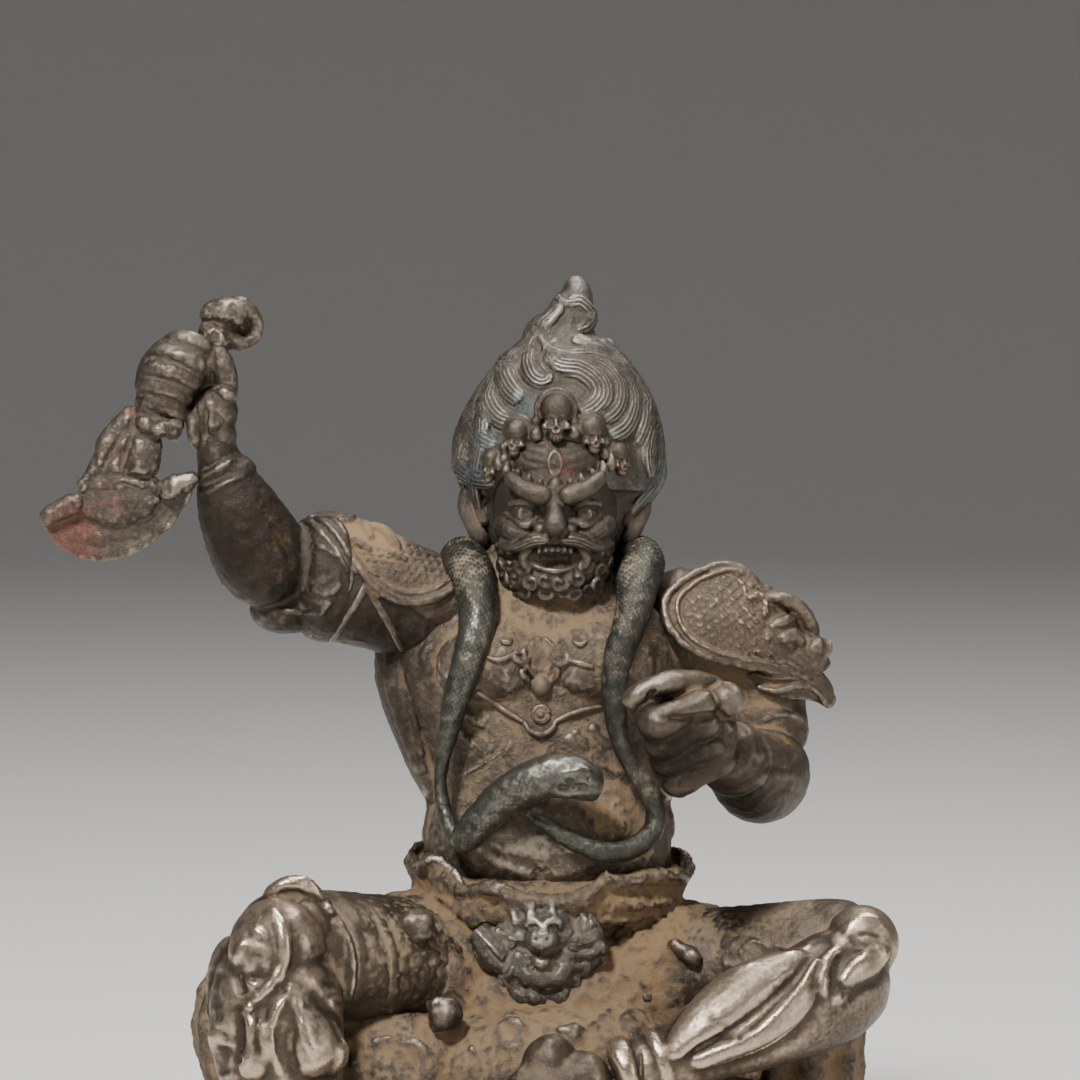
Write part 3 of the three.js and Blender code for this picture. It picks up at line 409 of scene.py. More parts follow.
def etch(skin, lines, facing=0.12):
    """Heights of soft lines drawn over the photograph.

    The numbers after a line are its half width in pixels and its height in mm. A third one is its
    lean, from -1 to 1: a fold that leans is steep on the right hand of its line, and easy on the
    left. Lines are drawn only where the skin faces the camera.
    """
    co = points_of(skin)
    flat, shown = pictured(co), np.clip((normals_of(skin) @ BACK - facing) * 4, 0, 1)
    relief = np.zeros(len(co))
    for line, width, height, *lean in drawn(lines):
        lean = lean[0] if lean else 0.0
        reach = 2.5 * width * (1 + abs(lean))
        fine = spline(line)(np.linspace(0, 1, 5 * len(line)))
        low, high = fine.min(axis=0) - reach, fine.max(axis=0) + reach
        near = np.flatnonzero(np.all((flat > low) & (flat < high), axis=1) & (shown > 0))
        if len(near):
            gap, share, side = away(flat[near], fine)
            fade = np.clip(5 * np.minimum(share, 1 - share), 0.3, 1)
            soft = np.exp(-((gap / (width * (1 - lean * side))) ** 2))
            relief[near] += height * fade * soft * shown[near]
    return relief


def carve(skin, *stages):
    """Draws lines on a skin in stages, broad ones first."""
    for lines in stages:
        push(skin, etch(skin, lines))


def crumble(skin, size, height, places=None):
    """Roughens a skin with lumps about `size` mm wide, everywhere or near some places."""
    co = points_of(skin)
    rough = np.array([noise.noise(Vector(p)) for p in co / size])
    push(skin, height * rough * (1.0 if places is None else spots(co, places)))


def spots(co, places):
    """Soft spots: the strongest of [x, y, z, radius, strength] at each vertex."""
    result = np.zeros(len(co))
    for x, y, z, radius, strength in table(places):
        gap = np.linalg.norm(co - [x, y, z], axis=1) / radius
        result = np.maximum(result, strength * np.clip(1.3 - gap, 0, 1))
    return result


# %% [markdown]
# ## Hollows and crests
#
# The finish of an old bronze follows its shape: dust stays in the hollows, and hands rub the crests
# bright. Averaging every vertex with its neighbours a few times gives a softened skin. Where the
# real skin lies under the softened one it is a hollow, and where it stands over it, a crest.


# %% Measure hollows and crests
def neighbours_mean(skin):
    pairs = np.empty(len(skin.data.edges) * 2, np.int32)
    skin.data.edges.foreach_get("vertices", pairs)
    a, b = pairs[0::2], pairs[1::2]
    count = len(skin.data.vertices)
    degree = np.maximum(np.bincount(a, minlength=count) + np.bincount(b, minlength=count), 1)

    def mean(values):
        around = np.bincount(a, values[b], count) + np.bincount(b, values[a], count)
        return 0.5 * values + 0.5 * around / degree

    return mean


def hollow(skin, passes):
    """How far each vertex lies under the skin averaged round it, in mm. Crests are negative."""
    co, mean = points_of(skin), neighbours_mean(skin)
    soft = co.copy()
    for _ in range(passes):
        soft = np.stack([mean(soft[:, k]) for k in range(3)], axis=1)
    return np.einsum("ij,ij->i", soft - co, normals_of(skin))


def keep(skin, name, values):
    """Stores a number for each vertex, for the materials to read."""
    layer = skin.data.attributes.new(name, "FLOAT", "POINT")
    layer.data.foreach_set("value", np.asarray(values, np.float32))


# %% [markdown]
# A comb cuts parallel lines. For every vertex near a traced line, `comb` finds the nearest point of
# the line, measures how far to its left or right the vertex lies, and turns that into waves.


# %% Comb
COMB_STEPS = 60


def comb(skin, lines, pitch, depth, reach=1.1):
    """Strands on a skin along 3-D lines of (points, outward directions, half width).

    Each vertex follows the line that is nearest for its width, out to `reach` half widths.
    """
    co, normal = points_of(skin), normals_of(skin)
    relief, best = np.zeros(len(co)), np.full(len(co), float(reach))
    for line, out, half in lines:
        shares = np.linspace(0, 1, COMB_STEPS)
        fine, facing = spline(line)(shares), unit(spline(out)(shares))
        along, width = unit(np.gradient(fine, axis=0)), reach * half
        low, high = fine.min(axis=0) - width, fine.max(axis=0) + width
        near = np.flatnonzero(np.all((co > low) & (co < high), axis=1))
        if not len(near):
            continue
        gap = np.linalg.norm(co[near, None] - fine[None], axis=2)
        which = gap.argmin(axis=1)
        offset = co[near] - fine[which]
        aside = np.einsum("ij,ij->i", np.cross(along[which], facing[which]), offset)
        share = which / (COMB_STEPS - 1)
        closeness = np.abs(aside) / half + 4 * (gap[np.arange(len(near)), which] > 1.5 * width + 0.6)
        shown = np.einsum("ij,ij->i", normal[near], facing[which]) > 0.1
        fade = np.clip(2.2 * (1 - closeness / reach), 0, 1)
        fade = fade * np.clip(6 * np.minimum(share, 1 - share), 0.15, 1)
        wave = depth * (2 * np.abs(np.cos(math.pi * aside / pitch)) - 1.27) * fade
        take = shown & (closeness < best[near])
        relief[near[take]] = wave[take]
        best[near[take]] = closeness[take]
    return relief


def curl(root, end, out, size, hand, turns=0.95):
    """A lock of hair from a root to a snail curl round its end."""
    out = unit(np.array(out, float))
    way = np.array(end, float) - np.array(root, float)
    way = unit(way - out * (way @ out))
    side = np.cross(out, way) * hand
    stations = [[*root, 0.62 * size]]
    for t in np.linspace(0, 1, 8):
        a, r = 2 * math.pi * turns * t, size * (1 - 0.72 * t)
        at = np.array(end) + side * (r * math.cos(a)) + way * (r * math.sin(a)) + out * 0.3 * size * t
        stations.append([*at, 0.46 * size * (1 - 0.35 * t)])
    return roll(stations, 12, 34, up=tuple(out))


# %% [markdown]
# ## Torso
#
# The bare torso is one long roll from the seat to the neck, with the chest, the paunch and the long
# back muscles pressed on as balls and rolls.


# %% Torso
def torso_forms():
    trunk = roll(
        "0 4 34 20 15, 0 3 46 20 15.5, 0 1.5 57 18.6 15, 0 0 66 18.6 15.5, -0.3 0.5 74 17.2 14.6,"
        "-0.5 1 84 20.4 13.8, -0.5 1 94 23.4 13.4, 0 1.5 102 20 11.5, 0.5 0.5 108 11 9,"
        "0.8 -1 114 7.5 7.5", 48, 60, FRONT)
    breasts = [ball([s * 7.8 - 0.4, -10, 93.6], [8.6, 4.8, 6], (0, s * 10, 0), 32, 20) for s in (-1, 1)]
    paunch = ball([-0.5, -9.5, 66.6], [13.5, 7.6, 9], sides=40, rings=24)
    flank = "19.4 3 98 6.4 6, 21 2 90 4.6 6.4, 18.6 0.6 80 3.4 5, 15.6 0 72 2.4 4"
    back = "4.6 11.6 62 3.6 3, 4.4 12.6 74 3.6 3, 5.6 12.4 86 4 3, 8.4 11 96 5 3.4, 6 9 104 3.6 3"
    flanks = [roll(s, 20, 30, FRONT) for s in both(-0.4, flank)]
    backs = [roll(s, 18, 36, (0, 1, 0)) for s in both(0, back)]
    return [trunk, *breasts, paunch, *flanks, *backs]


def worked_torso():
    """The torso with its larger cords and folds of skin laid on."""
    forms = torso_forms()
    tree = carry(forms)
    forms += laid(tree, """
        500 742 0.5, 478 757 0.9, 452 772 0.6: 0.4 0
        552 742 0.4, 575 760 0.7, 604 773 0.9, 640 783 0.7: 0.4 0
        462 832 0.5, 500 862 0.9, 540 873 1, 588 866 0.8: 0.3 0
        600 790 0.6, 640 800 1, 655 822 1, 648 845 0.6: 0.4 0
        648 775 0.9, 664 790 1.3, 676 812 1.4, 678 838 1: 0.6 0
        424 800 0.9, 421 820 1.3, 424 842 1: 0.6 0
        392 640 1.2, 394 680 1.8, 408 730 1.8, 422 775 1.2: 0.4 0
        """)
    forms.append(ball([-1.2, -14.6, 65.6], (2.6, 1.5, 2.0), sides=24))
    return forms


torso = melt("torso", worked_torso(), 0.34, smooth=5)
carve(torso, """
    541 600, 541 640, 541 700: 9 -0.35
    541 735, 541 775: 8 -0.35
    500 668, 512 680, 505 694: 16 0.5
    565 672, 575 682, 580 695: 16 0.45
    455 700, 470 714, 490 728: 9 0.6 0.3
    455 728, 470 742, 486 750: 8 0.5 0.3
    458 715, 474 730, 492 740: 4 -0.35
    556 726, 574 740, 594 748: 7 0.5 -0.3
    588 722, 600 738, 612 752: 6 0.4
    600 640, 598 662, 600 690: 8 -0.3
    484 640, 490 655, 486 675: 8 -0.3
    480 846, 520 860, 560 860, 600 850: 6 -0.25
    533 868, 541 877, 552 869: 6 -0.9
    436 640, 426 656, 430 682: 7 0.6
    408 612, 403 650, 412 690, 424 740: 10 0.6
    398 650, 404 700, 418 760: 5 -0.4
    640 640, 658 652, 670 672: 8 0.5
    610 800, 622 815, 620 835: 8 0.4
    585 808, 600 822, 596 838: 7 -0.3
    500 598, 508 612, 520 622: 6 -0.25
    600 590, 590 608, 576 620: 6 -0.25
    """, """
    514 735, 504 750, 482 764, 452 779: 3 0.4 0.4
    508 744, 498 758, 476 772: 2 -0.3
    553 744, 576 763, 604 777, 642 787: 2.5 -0.35
    488 712, 510 722, 524 742: 3 -0.25
    592 722, 572 728, 556 744: 3 -0.25
    452 690, 470 704, 492 706: 3 -0.3
    433 655, 437 668, 446 682, 452 676: 3 -0.5
    570 728, 582 736, 590 742: 2.2 0.3
    456 800, 470 805, 478 796: 2.5 0.35
    648 646, 658 640, 668 646: 3 0.25
    640 672, 655 676, 672 674: 1.8 -0.25
    508 618, 504 630: 2 0.2
    534 636, 530 648: 2 0.2
    652 612, 664 622, 668 640: 3 0.25
    """)
crumble(torso, 2.2, 0.2)
crumble(torso, 0.9, 0.16, """
    13 -14 70 7 1.6, -12 -15 79 5 1.2, 14 -13 78 6 1.6, 0 -14 100 12 0.5, 16 -8 62 6 1.2
    """)
crumble(torso, 1.0, 0.1)
crumble(torso, 0.5, 0.08)
print("torso:", len(torso.data.polygons), "faces")


# %% [markdown]
# ## Face and beard
#
# The guardian's face is a stock type, like a theatre mask: knotted brows, a third eye, round eyes
# in deep sockets, a broad nose, and an open mouth in a beard of small curls. It is laid out here on
# plain proportions, one feature after the other, and mirrored, and no real face stood model for it.


# %% Face
HEAD = (1.0, -2.6, 116.5)  # the middle of the head


def on_head(text):
    """Stations with their heights measured from the middle of the head."""
    return [[x, y, HEAD[2] + z, *halves] for x, y, z, *halves in table(text)]


def face_forms():
    x, _, z = HEAD
    bridge = table("-13 2.8 1.3, -14.6 0.2 1.3, -15.9 -2 1.7, -14.2 -3.1 1.2")
    nose = [[x, y, z + up, half] for y, up, half in bridge]
    lip = [[x - 3.2, -11.8, z - 8.2, 0.7], [x, -13.3, z - 8.9, 0.9], [x + 3.2, -11.8, z - 8.2, 0.7]]
    forms = [
        ball(HEAD, (9.4, 11, 12.6), (12, 0, 0), 48, 32),
        ball([x, -7.2, z - 7.6], (7.6, 5.8, 4.8), sides=32, rings=20),
        ball([x, -9.6, z - 3.6], (5.2, 4.4, 2.6), sides=32, rings=20),
        ball([x, -13.2, z + 2.4], (1.5, 1.6, 2.2)),
        ball([x, -6.6, z + 6.4], (7.8, 6.2, 5.4), sides=32, rings=20),
        roll(nose, 20, 24),
        roll(lip, 14, 20),
    ]
    # brow, both eyelids, cheek, upper lip, corner of the mouth, ear and its inner fold
    paired = [on_head(row) for row in rows_of("""
        0.9 -13.6 1.4 1.1, 2.1 -14.5 2.1 1.6, 4.6 -13.9 3 1.35, 7.2 -11.4 5 1
        2.2 -12.8 -0.2 0.5, 4.3 -13.9 1 0.6, 6.8 -11.8 0.6 0.5
        2.3 -12.9 -1.3 0.5, 4.4 -13.4 -2.4 0.6, 6.9 -11.4 -1 0.5
        2.9 -12.3 -3.2 0.8, 5.8 -11.6 -3.5 1.7, 8.3 -8.4 -1.8 1.5
        0.6 -14.6 -4.2 0.9, 3 -14.1 -4.4 1.15, 5.8 -12.4 -5.6 0.9, 7.6 -10.8 -5.4 0.75,
        7.6 -10.6 -4.3 0.5, 6.7 -11.6 -4.4 0.35
        3.6 -13.2 -5.4 0.6, 4.6 -12.5 -7.2 0.8, 4.2 -12.4 -9 0.55
        9.6 -1.4 3.4 0.9 1.2, 12.4 -0.4 3.2 1 1.3, 13.5 0 -0.2 1.1 1.4, 12.4 -0.8 -3 1.2 1.5,
        10.4 -1.8 -6.2 1.4 1.3
        9.7 -2.4 1.4 0.8, 11.2 -1.6 -0.6 0.8, 10.2 -2.2 -3.2 0.7
        """)]
    for a, h in table("1.6 3, 3.2 3.7, 4.9 4.4, 6.4 5.5, 7.6 6.6"):  # tufts of the brows
        y, top = -14.4 + 0.085 * a * a, z + h
        tuft = [[a, y, top - 1.2, 0.8], [a + 0.7, y + 0.2, top, 0.75], [a + 0.5, y + 0.9, top + 1.5, 0.3]]
        paired.append(tuft)
    for stations in paired:
        forms += [roll(s, 16, 30) for s in both(x, stations)]
    for side in (-1, 1):
        forms.append(ball([x + side * 11.2, 0.2, z - 0.6], (2.2, 1.2, 3.4), (0, -side * 14, 0)))
        forms.append(ball([x + side * 4.4, -11.9, z - 0.7], (1.95, 2, 1.6), sides=28, rings=20))
        forms.append(ball([x + side * 2.0, -14.2, z - 2.8], (1.2, 1.3, 1.0)))
        forms.append(ball([x + side * 2.3, -12.7, z - 6.2], (0.4, 0.5, 1.15)))
        forms += [ball([x + side * a, -13.2, z - 5.9], (0.42, 0.5, 0.75)) for a in (0.45, 1.35)]
    return forms


def beard_forms():
    """Rows of curls round the jaw, each hanging from the row above it."""
    x, _, z = HEAD
    rows = [  # bearings of the curls, height from the middle of the head, reach and size
        ([-88, 88], -0.4, 9.2, 1.1),
        ([-84, -68, 68, 84], -3.4, 9.2, 1.15),
        ([-79, -62, 62, 79], -6.2, 9.1, 1.25),
        ([-73, -55, -38, 38, 55, 73], -8.6, 9.0, 1.25),
        ([-66, -48, -29, -11, 8, 27, 47, 65], -10.6, 8.7, 1.2),
        ([-56, -36, -15, 6, 26, 46], -12.2, 7.6, 1.15),
    ]
    forms = []
    for k, (bearings, drop, reach, size) in enumerate(rows):
        for j, bearing in enumerate(bearings):
            a = rad(bearing + 4 * math.sin(5 * j + k))
            out = np.array([math.sin(a), -math.cos(a), -0.25])
            lift = z + drop + 0.5 * math.sin(3 * j)
            end = np.array([x + math.sin(a) * reach * 0.92, -4.4 - math.cos(a) * reach, lift])
            root = end + [-0.8 * math.sin(a), 1.2 * math.cos(a), 2.8]
            forms.append(curl(root, end, out, size, 1 if (j + k) % 3 else -1))
            forms.append(ball(end - 0.9 * unit(out), (size, size * 0.8, size * 1.1)))
    return forms


face = melt("face", face_forms() + beard_forms(), 0.18, smooth=2)

# %% Eyes, nostrils and mouth
def bump(gap, width):
    """1 where the gap is 0, fading over a width."""
    return np.exp(-((gap / width) ** 2))


def face_hollows():
    """Heights that round the third eye, and sink the pupils, the nostrils and the open mouth."""
    mid, _, z = HEAD
    co, forward = points_of(face), normals_of(face)[:, 1] < -0.3
    x, y, z = co[:, 0] - mid, co[:, 1], co[:, 2] - z
    third_eye = np.hypot(x / 0.9, (z - 6.6) / 1.7)
    relief = 0.3 * bump(third_eye - 1, 0.3) * forward
    relief += 0.25 * bump(third_eye, 0.45) * forward
    relief -= 1.8 * np.exp(-((x / 2.7) ** 4) - (((z + 7.6) / 0.7) ** 2)) * (y < -10)
    for side in (-1, 1):
        pupil = np.hypot(x - side * 4.3, z + 0.7)
        relief -= 0.35 * bump(pupil, 0.45) * (y < -12)
        relief += 0.14 * bump(pupil - 0.95, 0.2) * (y < -12)
        nostril = np.hypot(x - side * 1.7, z + 3.5)
        relief -= 0.5 * bump(nostril, 0.45) * (y < -14)
    return relief


push(face, face_hollows())


# %% Wrinkles and moustache
def on_face(tree, line, side, rise=0.0):
    """Points and outward directions where a line of [aside, height] lies on one side of the face."""
    hits = []
    for aside, height in table(line):
        x, z = HEAD[0] + side * aside, HEAD[2] + height + rise
        hit = tree.ray_cast(Vector((x, -60, z)), Vector((0, 1, 0)))[0]
        hits.append(tuple(hit or tree.find_nearest(Vector((x, -8, z)))[0]))
    at = np.array(hits)
    return at, unit(at - np.array(HEAD) * [1, 0.2, 1])


def face_lines():
    tree, co = tree_of(face), points_of(face)
    moustache = [(*on_face(tree, "1.2 -4.4, 3.4 -4.7, 5.8 -5.8", side), 1.1) for side in (-1, 1)]
    relief = comb(face, moustache, 0.5, 0.12)
    for side in (-1, 1):
        for k in range(3):
            forehead = on_face(tree, "1.8 6.4, 4 6.9, 6 8.2", side, 1.4 * k)[0]
            relief -= 0.12 * bump(away(co, forehead)[0], 0.28)
            cheek = on_face(tree, "3.6 -3.2, 5.6 -3.1, 7.4 -1.8", side, -0.8 * k)[0]
            relief -= 0.1 * bump(away(co, cheek)[0], 0.24)
    return relief


push(face, face_lines())
print("face vertices:", len(face.data.vertices))


# %% [markdown]
# ## Hair
#
# The hair stands up like a flame and ends in a twisted tuft. A modeller builds it as one smooth
# mass, lays flattened rolls of wax on it for the locks, and then combs the strands in. The front
# locks follow the photograph. Those at the back sweep down from the tuft in the same slow curves.


# %% Mass of the hair
HAIR = table("""
    1.4 4 104.6 6.4 6, 1.2 4 109 10.4 9.8, 1.2 3.6 114 11.8 11, 1.3 3.4 117.8 12.8 11.4
    1.4 3.4 119.8 14.8 13, 1.8 3.4 123.6 15 13.5, 2.3 3.5 129 13.7 12.6, 2.6 3.7 134 11.2 10.6
    2.7 4 138.4 8 8.1, 2.6 4 141.8 5.2 5.2, 3.4 4 145 3.5 3.5, 4.2 4 148 2.5 2.5
    """) + [[3.7, 4, TOP - 0.3, 0.9, 0.9]]
FRONT_LOCKS = """
    562 304, 548 320, 528 334, 511 352, 505 372, 511 391, 527 405: 2.2
    551 326, 536 344, 529 362, 535 378, 546 381, 551 370: 1.3
    556 338, 546 352, 541 364, 549 374: 1
    543 334, 550 349, 568 356, 598 358, 624 374, 642 397, 648 424: 1.5
    548 352, 560 365, 580 369, 596 381, 601 396, 592 409, 572 418: 2
    584 361, 604 370, 616 388, 614 408, 598 422: 1.9
    606 366, 624 382, 631 404, 624 426, 606 438: 1.7
    624 376, 641 400, 644 424, 636 450: 1.7
    600 350, 632 370, 654 396, 660 426, 662 452, 660 474: 2.4
    652 404, 650 430, 646 456, 652 478: 2
    534 324, 510 344, 490 368, 476 392, 472 416, 482 438, 504 450: 2.3
    514 366, 498 384, 491 402, 500 418, 520 424: 1.7
    506 340, 482 364, 466 390, 462 412, 468 432: 2.1
    470 428, 457 442, 456 460, 472 475, 502 481: 2
    556 290, 566 302, 580 301, 589 312, 586 326, 574 332: 1.15
    571 338, 586 344, 606 354, 628 366: 1.6
    """


def combed_back(turn, k):
    """A lock at the side or back: its heights, and its bearings round the hair, down to the neck."""
    sway = 9 * math.sin(1.7 * k)
    heights = [141, 136.5, 131, 125.5, 120, 114.5]
    turns = [turn - sway, turn - 0.5 * sway, turn + 6, turn + 10 + sway, turn + 5, turn - 4]
    return heights, turns


def hair_pieces():
    mass = melt("hair_mass", [roll(HAIR, 96, 120, FRONT)], 0.5, smooth=2)
    tree = tree_of(mass)
    lines = []
    for line, half in drawn(FRONT_LOCKS):
        at, out = traced(tree, line)
        lines.append((at, out, half))
    for k, turn in enumerate(range(-22, 205, 15)):
        at, out = [], []
        for z, a in zip(*combed_back(turn, k)):
            way = Vector((math.cos(rad(a)), math.sin(rad(a)), 0))
            hit = tree.ray_cast(Vector((1.6, 3.6, z)) + way * 40, -way)
            if hit[0] is not None:
                at.append(hit[0])
                out.append(hit[1])
        lines.append((np.array(at), np.array(out), 2.1))
    forms = [roll(HAIR, 96, 120, FRONT)]
    for at, out, half in lines:
        share = np.linspace(0, 1, len(at))
        size = half * (0.35 + 0.65 * np.sin(math.pi * np.clip(0.12 + 0.8 * share, 0, 1)))
        stations = [[*p, s, 0.5 * s] for p, s in zip(at + out * 0.1 * half, size)]
        tenth = max(1, len(stations) // 10)
        forms.append(roll(stations[::tenth], 20, 44, tuple(unit(out.mean(axis=0)))))
    forms.append(ball([5.6, 3, 144], (1.9, 2.2, 2.2), (0, 25, 0)))
    bpy.data.objects.remove(mass)
    return forms, lines


hair_forms, lock_lines = hair_pieces()
hair = melt("hair", hair_forms, 0.23, smooth=2)
push(hair, comb(hair, lock_lines, 0.62, 0.17, reach=1.9))
print("locks:", len(lock_lines), "hair vertices:", len(hair.data.vertices))


# %% [markdown]
# ## Crown of skulls
#
# Five small skulls stand on the front of a narrow band, each in a little cup of leaves. A skull is
# a ball with a jaw, and its eye sockets are pressed in afterwards by pulling vertices inwards.


# %% Crown
SKULLS = "493 459 -48 1.75, 517 430 -26 1.95, 556 408 0 2.45, 591 427 26 1.95, 617 452 48 1.75"


def crown_skulls():
    """Where each skull stands, how large it is, and the way it faces."""
    skulls = []
    for px, py, bearing, size in table(SKULLS):
        way = seen(px, py)
        depth = 1.4 - 12.6 * math.cos(rad(bearing))
        skulls.append((LENS + way * (depth - LENS[1]) / way[1], size, bearing))
    return skulls


def skull_frame(at, size, bearing):
    """A function from steps to the side, outwards and upwards, in skull sizes, to a point."""
    s, c = math.sin(rad(bearing)), math.cos(rad(bearing))

    def spot(aside, out, up):
        return at + np.array([aside * c + out * s, aside * s - out * c, up]) * size

    return spot


def crown_forms():
    forms = []
    skulls = crown_skulls()
    for at, size, bearing in skulls:
        spot = skull_frame(at, size, bearing)
        turn = (8, 0, bearing)
        forms.append(ball(at, (size, size, size * 0.98), turn, 28, 20))
        forms.append(ball(spot(0, 0.34, -0.95), (size * 0.72, size * 0.6, size * 0.5), turn))
        forms.append(ball(spot(0, 0.5, -1.55), (size * 0.46, size * 0.5, size * 0.5), turn))
        for side in (-1, 1):
            forms.append(ball(spot(0.66 * side, 0.5, -1.08), (size * 0.24, size * 0.3, size * 0.22), turn))
        leaves = [rad(t) for t in range(-130, 131, 26)]
        cup = [spot(1.2 * math.sin(t), -0.25, -0.1 + 1.22 * math.cos(t)) for t in leaves]
        outward = tuple(spot(0, 1, 0) - spot(0, 0, 0))
        forms.append(roll([[*p, 0.15 * size, 0.34 * size] for p in cup], 12, 40, outward))
    forms.append(roll([[a[0], a[1] + 1.0, a[2] - s * 1.7, 0.9, 1.3] for a, s, _ in skulls], 20, 40))
    for (a, *_), (b, *_) in zip(skulls, skulls[1:]):
        middle = (a + b) / 2
        forms.append(ball(middle + [0, -0.5, -2.2], (1.0, 0.9, 1.1)))
        forms.append(ball(middle + [0, -0.1, -0.4], (0.9, 0.8, 0.9)))
    return forms


crown = melt("crown", crown_forms(), 0.17, smooth=2)


# %% Sockets and teeth
def skull_hollows():
    """Heights that sink the eyes and the nose of each skull and part its teeth."""
    co = points_of(crown)
    relief = np.zeros(len(co))
    for at, size, bearing in crown_skulls():
        spot = skull_frame(at, size, bearing)
        for aside, up, wide, deep in table("-0.36 -0.82 0.26 0.34, 0.36 -0.82 0.26 0.34, 0 -1.18 0.15 0.2"):
            gap = np.linalg.norm(co - spot(aside, 0.95, up), axis=1) / size
            relief -= size * deep * bump(gap, wide)
            relief += 0.08 * size * bump(gap - 1.5 * wide, 0.12)
        mouth = spot(0, 0.95, -1.55)
        near = np.exp(-((np.linalg.norm(co - mouth, axis=1) / (0.5 * size)) ** 4))
        aside = (co - mouth) @ unit(spot(1, 0, 0) - spot(0, 0, 0)) / size
        relief -= 0.1 * size * near * bump(co[:, 2] - mouth[2], 0.09 * size)
        relief -= 0.05 * size * near * (0.5 + 0.5 * np.cos(2 * math.pi * aside / 0.24))
    return relief


push(crown, skull_hollows())
print("crown vertices:", len(crown.data.vertices))


# %% [markdown]
# ## Snake
#
# The snake hangs round the neck like a garland. Its fore part drops over the right breast, turns at
# the belly and thickens into neck and head, and the tail comes round from the left and slips under
# the neck. It is drawn out as two rolls with so many sides and rings that the scales can be pressed
# straight into the section, so it needs no remesh.


# %% Snake
def scales(along, around, smooth_from=2.0, height=0.08):
    """Rows of small lozenges, each highest in its middle, down to a share where they fade."""

    def swell(angle, share):
        u = angle / (2 * math.pi) * around
        v = share * along
        a, b = (u + v) % 1.0, (u - v) % 1.0
        lift = height * np.clip((smooth_from - share) * 6, 0.15, 1)
        return 1 + lift * np.minimum(np.minimum(a, 1 - a), np.minimum(b, 1 - b)) * 2

    return swell


garland = roll(
    "-11.4 -16.6 67.4 1.7, -13.2 -15.6 68.2 1.5, -14.9 -14.4 71 1.15, -15.9 -13 75.4 0.9,"
    "-15.5 -12.8 79.6 1.05, -14.8 -13.2 82.8 1.35, -13.5 -13.8 88.5 1.95, -11.6 -13.9 94.6 2.35,"
    "-10.4 -12.4 100.3 2.65, -11.1 -8 105.8 3.15, -12.6 -1.4 107.8 3.6, -10 8.4 107 3, 0.6 12.6 105.5 3,"
    "11.4 8.4 107 3, 13.8 -1.4 108 3.4, 13.2 -8.6 105 3.05, 12.3 -12.2 100.4 2.45, 10.2 -14 94.6 2.1,"
    "9.8 -14.4 88.6 1.8, 10.5 -14.2 82.8 1.4, 12.6 -13.4 78.2 1.3, 15.2 -12.6 74 1.35,"
    "15.8 -12.8 70 1.45, 13.4 -14.6 67.2 1.5, 9.8 -16.4 66.2 1.5, 6 -17.2 67 1.4, 2.4 -17.6 68.6 1.2,"
    "-0.6 -17.8 70.6 0.95, -3.2 -17.8 72.2 0.5", 72, 880, (0, -0.35, 1), scales(220, 18))
neck = roll(
    "-13.6 -15.2 67.6 1.5, -12 -16.6 68.6 2.3 2.1, -9.4 -18.2 71.6 2.55 2.4, -6.4 -19.6 74.8 2.7 2.5,"
    "-2.6 -20.8 77.2 2.9 2.6, 0.8 -21.4 78.2 3.2 2.7, 3.6 -21.6 78 3.2 2.7, 5.4 -21.5 77.3 2.8 2.5,"
    "6.8 -21.2 76.7 2.3 2.1, 7.9 -21 76.4 1.5 1.3", 72, 220, (0, -1, 0.2), scales(40, 18, 0.6, 0.05))
snake = gather("snake", [garland, neck])
carve(snake, """
    536 764, 548 760, 562 762, 576 768: 5 0.2
    554 787, 565 789, 577 787, 592 786: 3.4 -0.5
    552 798, 568 797, 586 794: 5 0.2
    572 768, 584 770, 592 776: 5 0.25
    """, """
    566 780, 571 782, 575 780: 3 -0.5
    562 775, 568 772, 576 773: 2.6 0.2
    587 778, 590 780: 1.6 -0.25
    """)
crumble(snake, 1.4, 0.16)
crumble(snake, 0.5, 0.06)
print("snake:", len(snake.data.polygons), "faces")


# %% [markdown]
# ## Raised right arm
#
# The upper arm reaches out level, the forearm stands straight up, and the hand closes round the
# knife's handle. The fingers of this hand follow the photograph. Those of the other hand are bent
# round a bar by a rule, because that fist is out of focus.


# %% Fist
RIGHT_UPPER_ARM = "-12 2 99.6 10 8.6, -21 0 101.2 9.4 7.9, -30 -4 104.2 8.8 8.4, -38.5 -8 105.2 7.6 8.2"


def fist(centre, bar, back, joints, spacing, size):
    """Four fingers closed round a bar; joints are [bearing round it, reach] from knuckle to tip."""
    along = unit(np.array(bar, float))
    out = np.array(back, float)
    out = unit(out - along * (out @ along))
    across = np.cross(along, out)
    fingers = []
    for k, step in enumerate((1.5, 0.5, -0.5, -1.5)):
        bends = []
        for bearing, reach in joints:
            a = rad(bearing + 7 * math.sin(2.3 * k + 1))
            p = np.array(centre) + along * (step * spacing + 0.25 * math.sin(4.1 * k + bearing))
            bends.append(p + (out * math.cos(a) + across * math.sin(a)) * (reach + 0.2 * math.sin(3 * k)))
        stations, half = [], size * (1 - 0.05 * k)
        for i, p in enumerate(bends):
            stations.append([*p, half * (1.08, 1.12, 1.0, 0.74)[i]])
            if i < 3:
                bone = 0.5 * (p + bends[i + 1]) + 0.1 * unit(p - np.array(centre))
                stations.append([*bone, half * 0.9])
        fingers.append(roll(stations, 20, 60, up=tuple(along)))
    return fingers


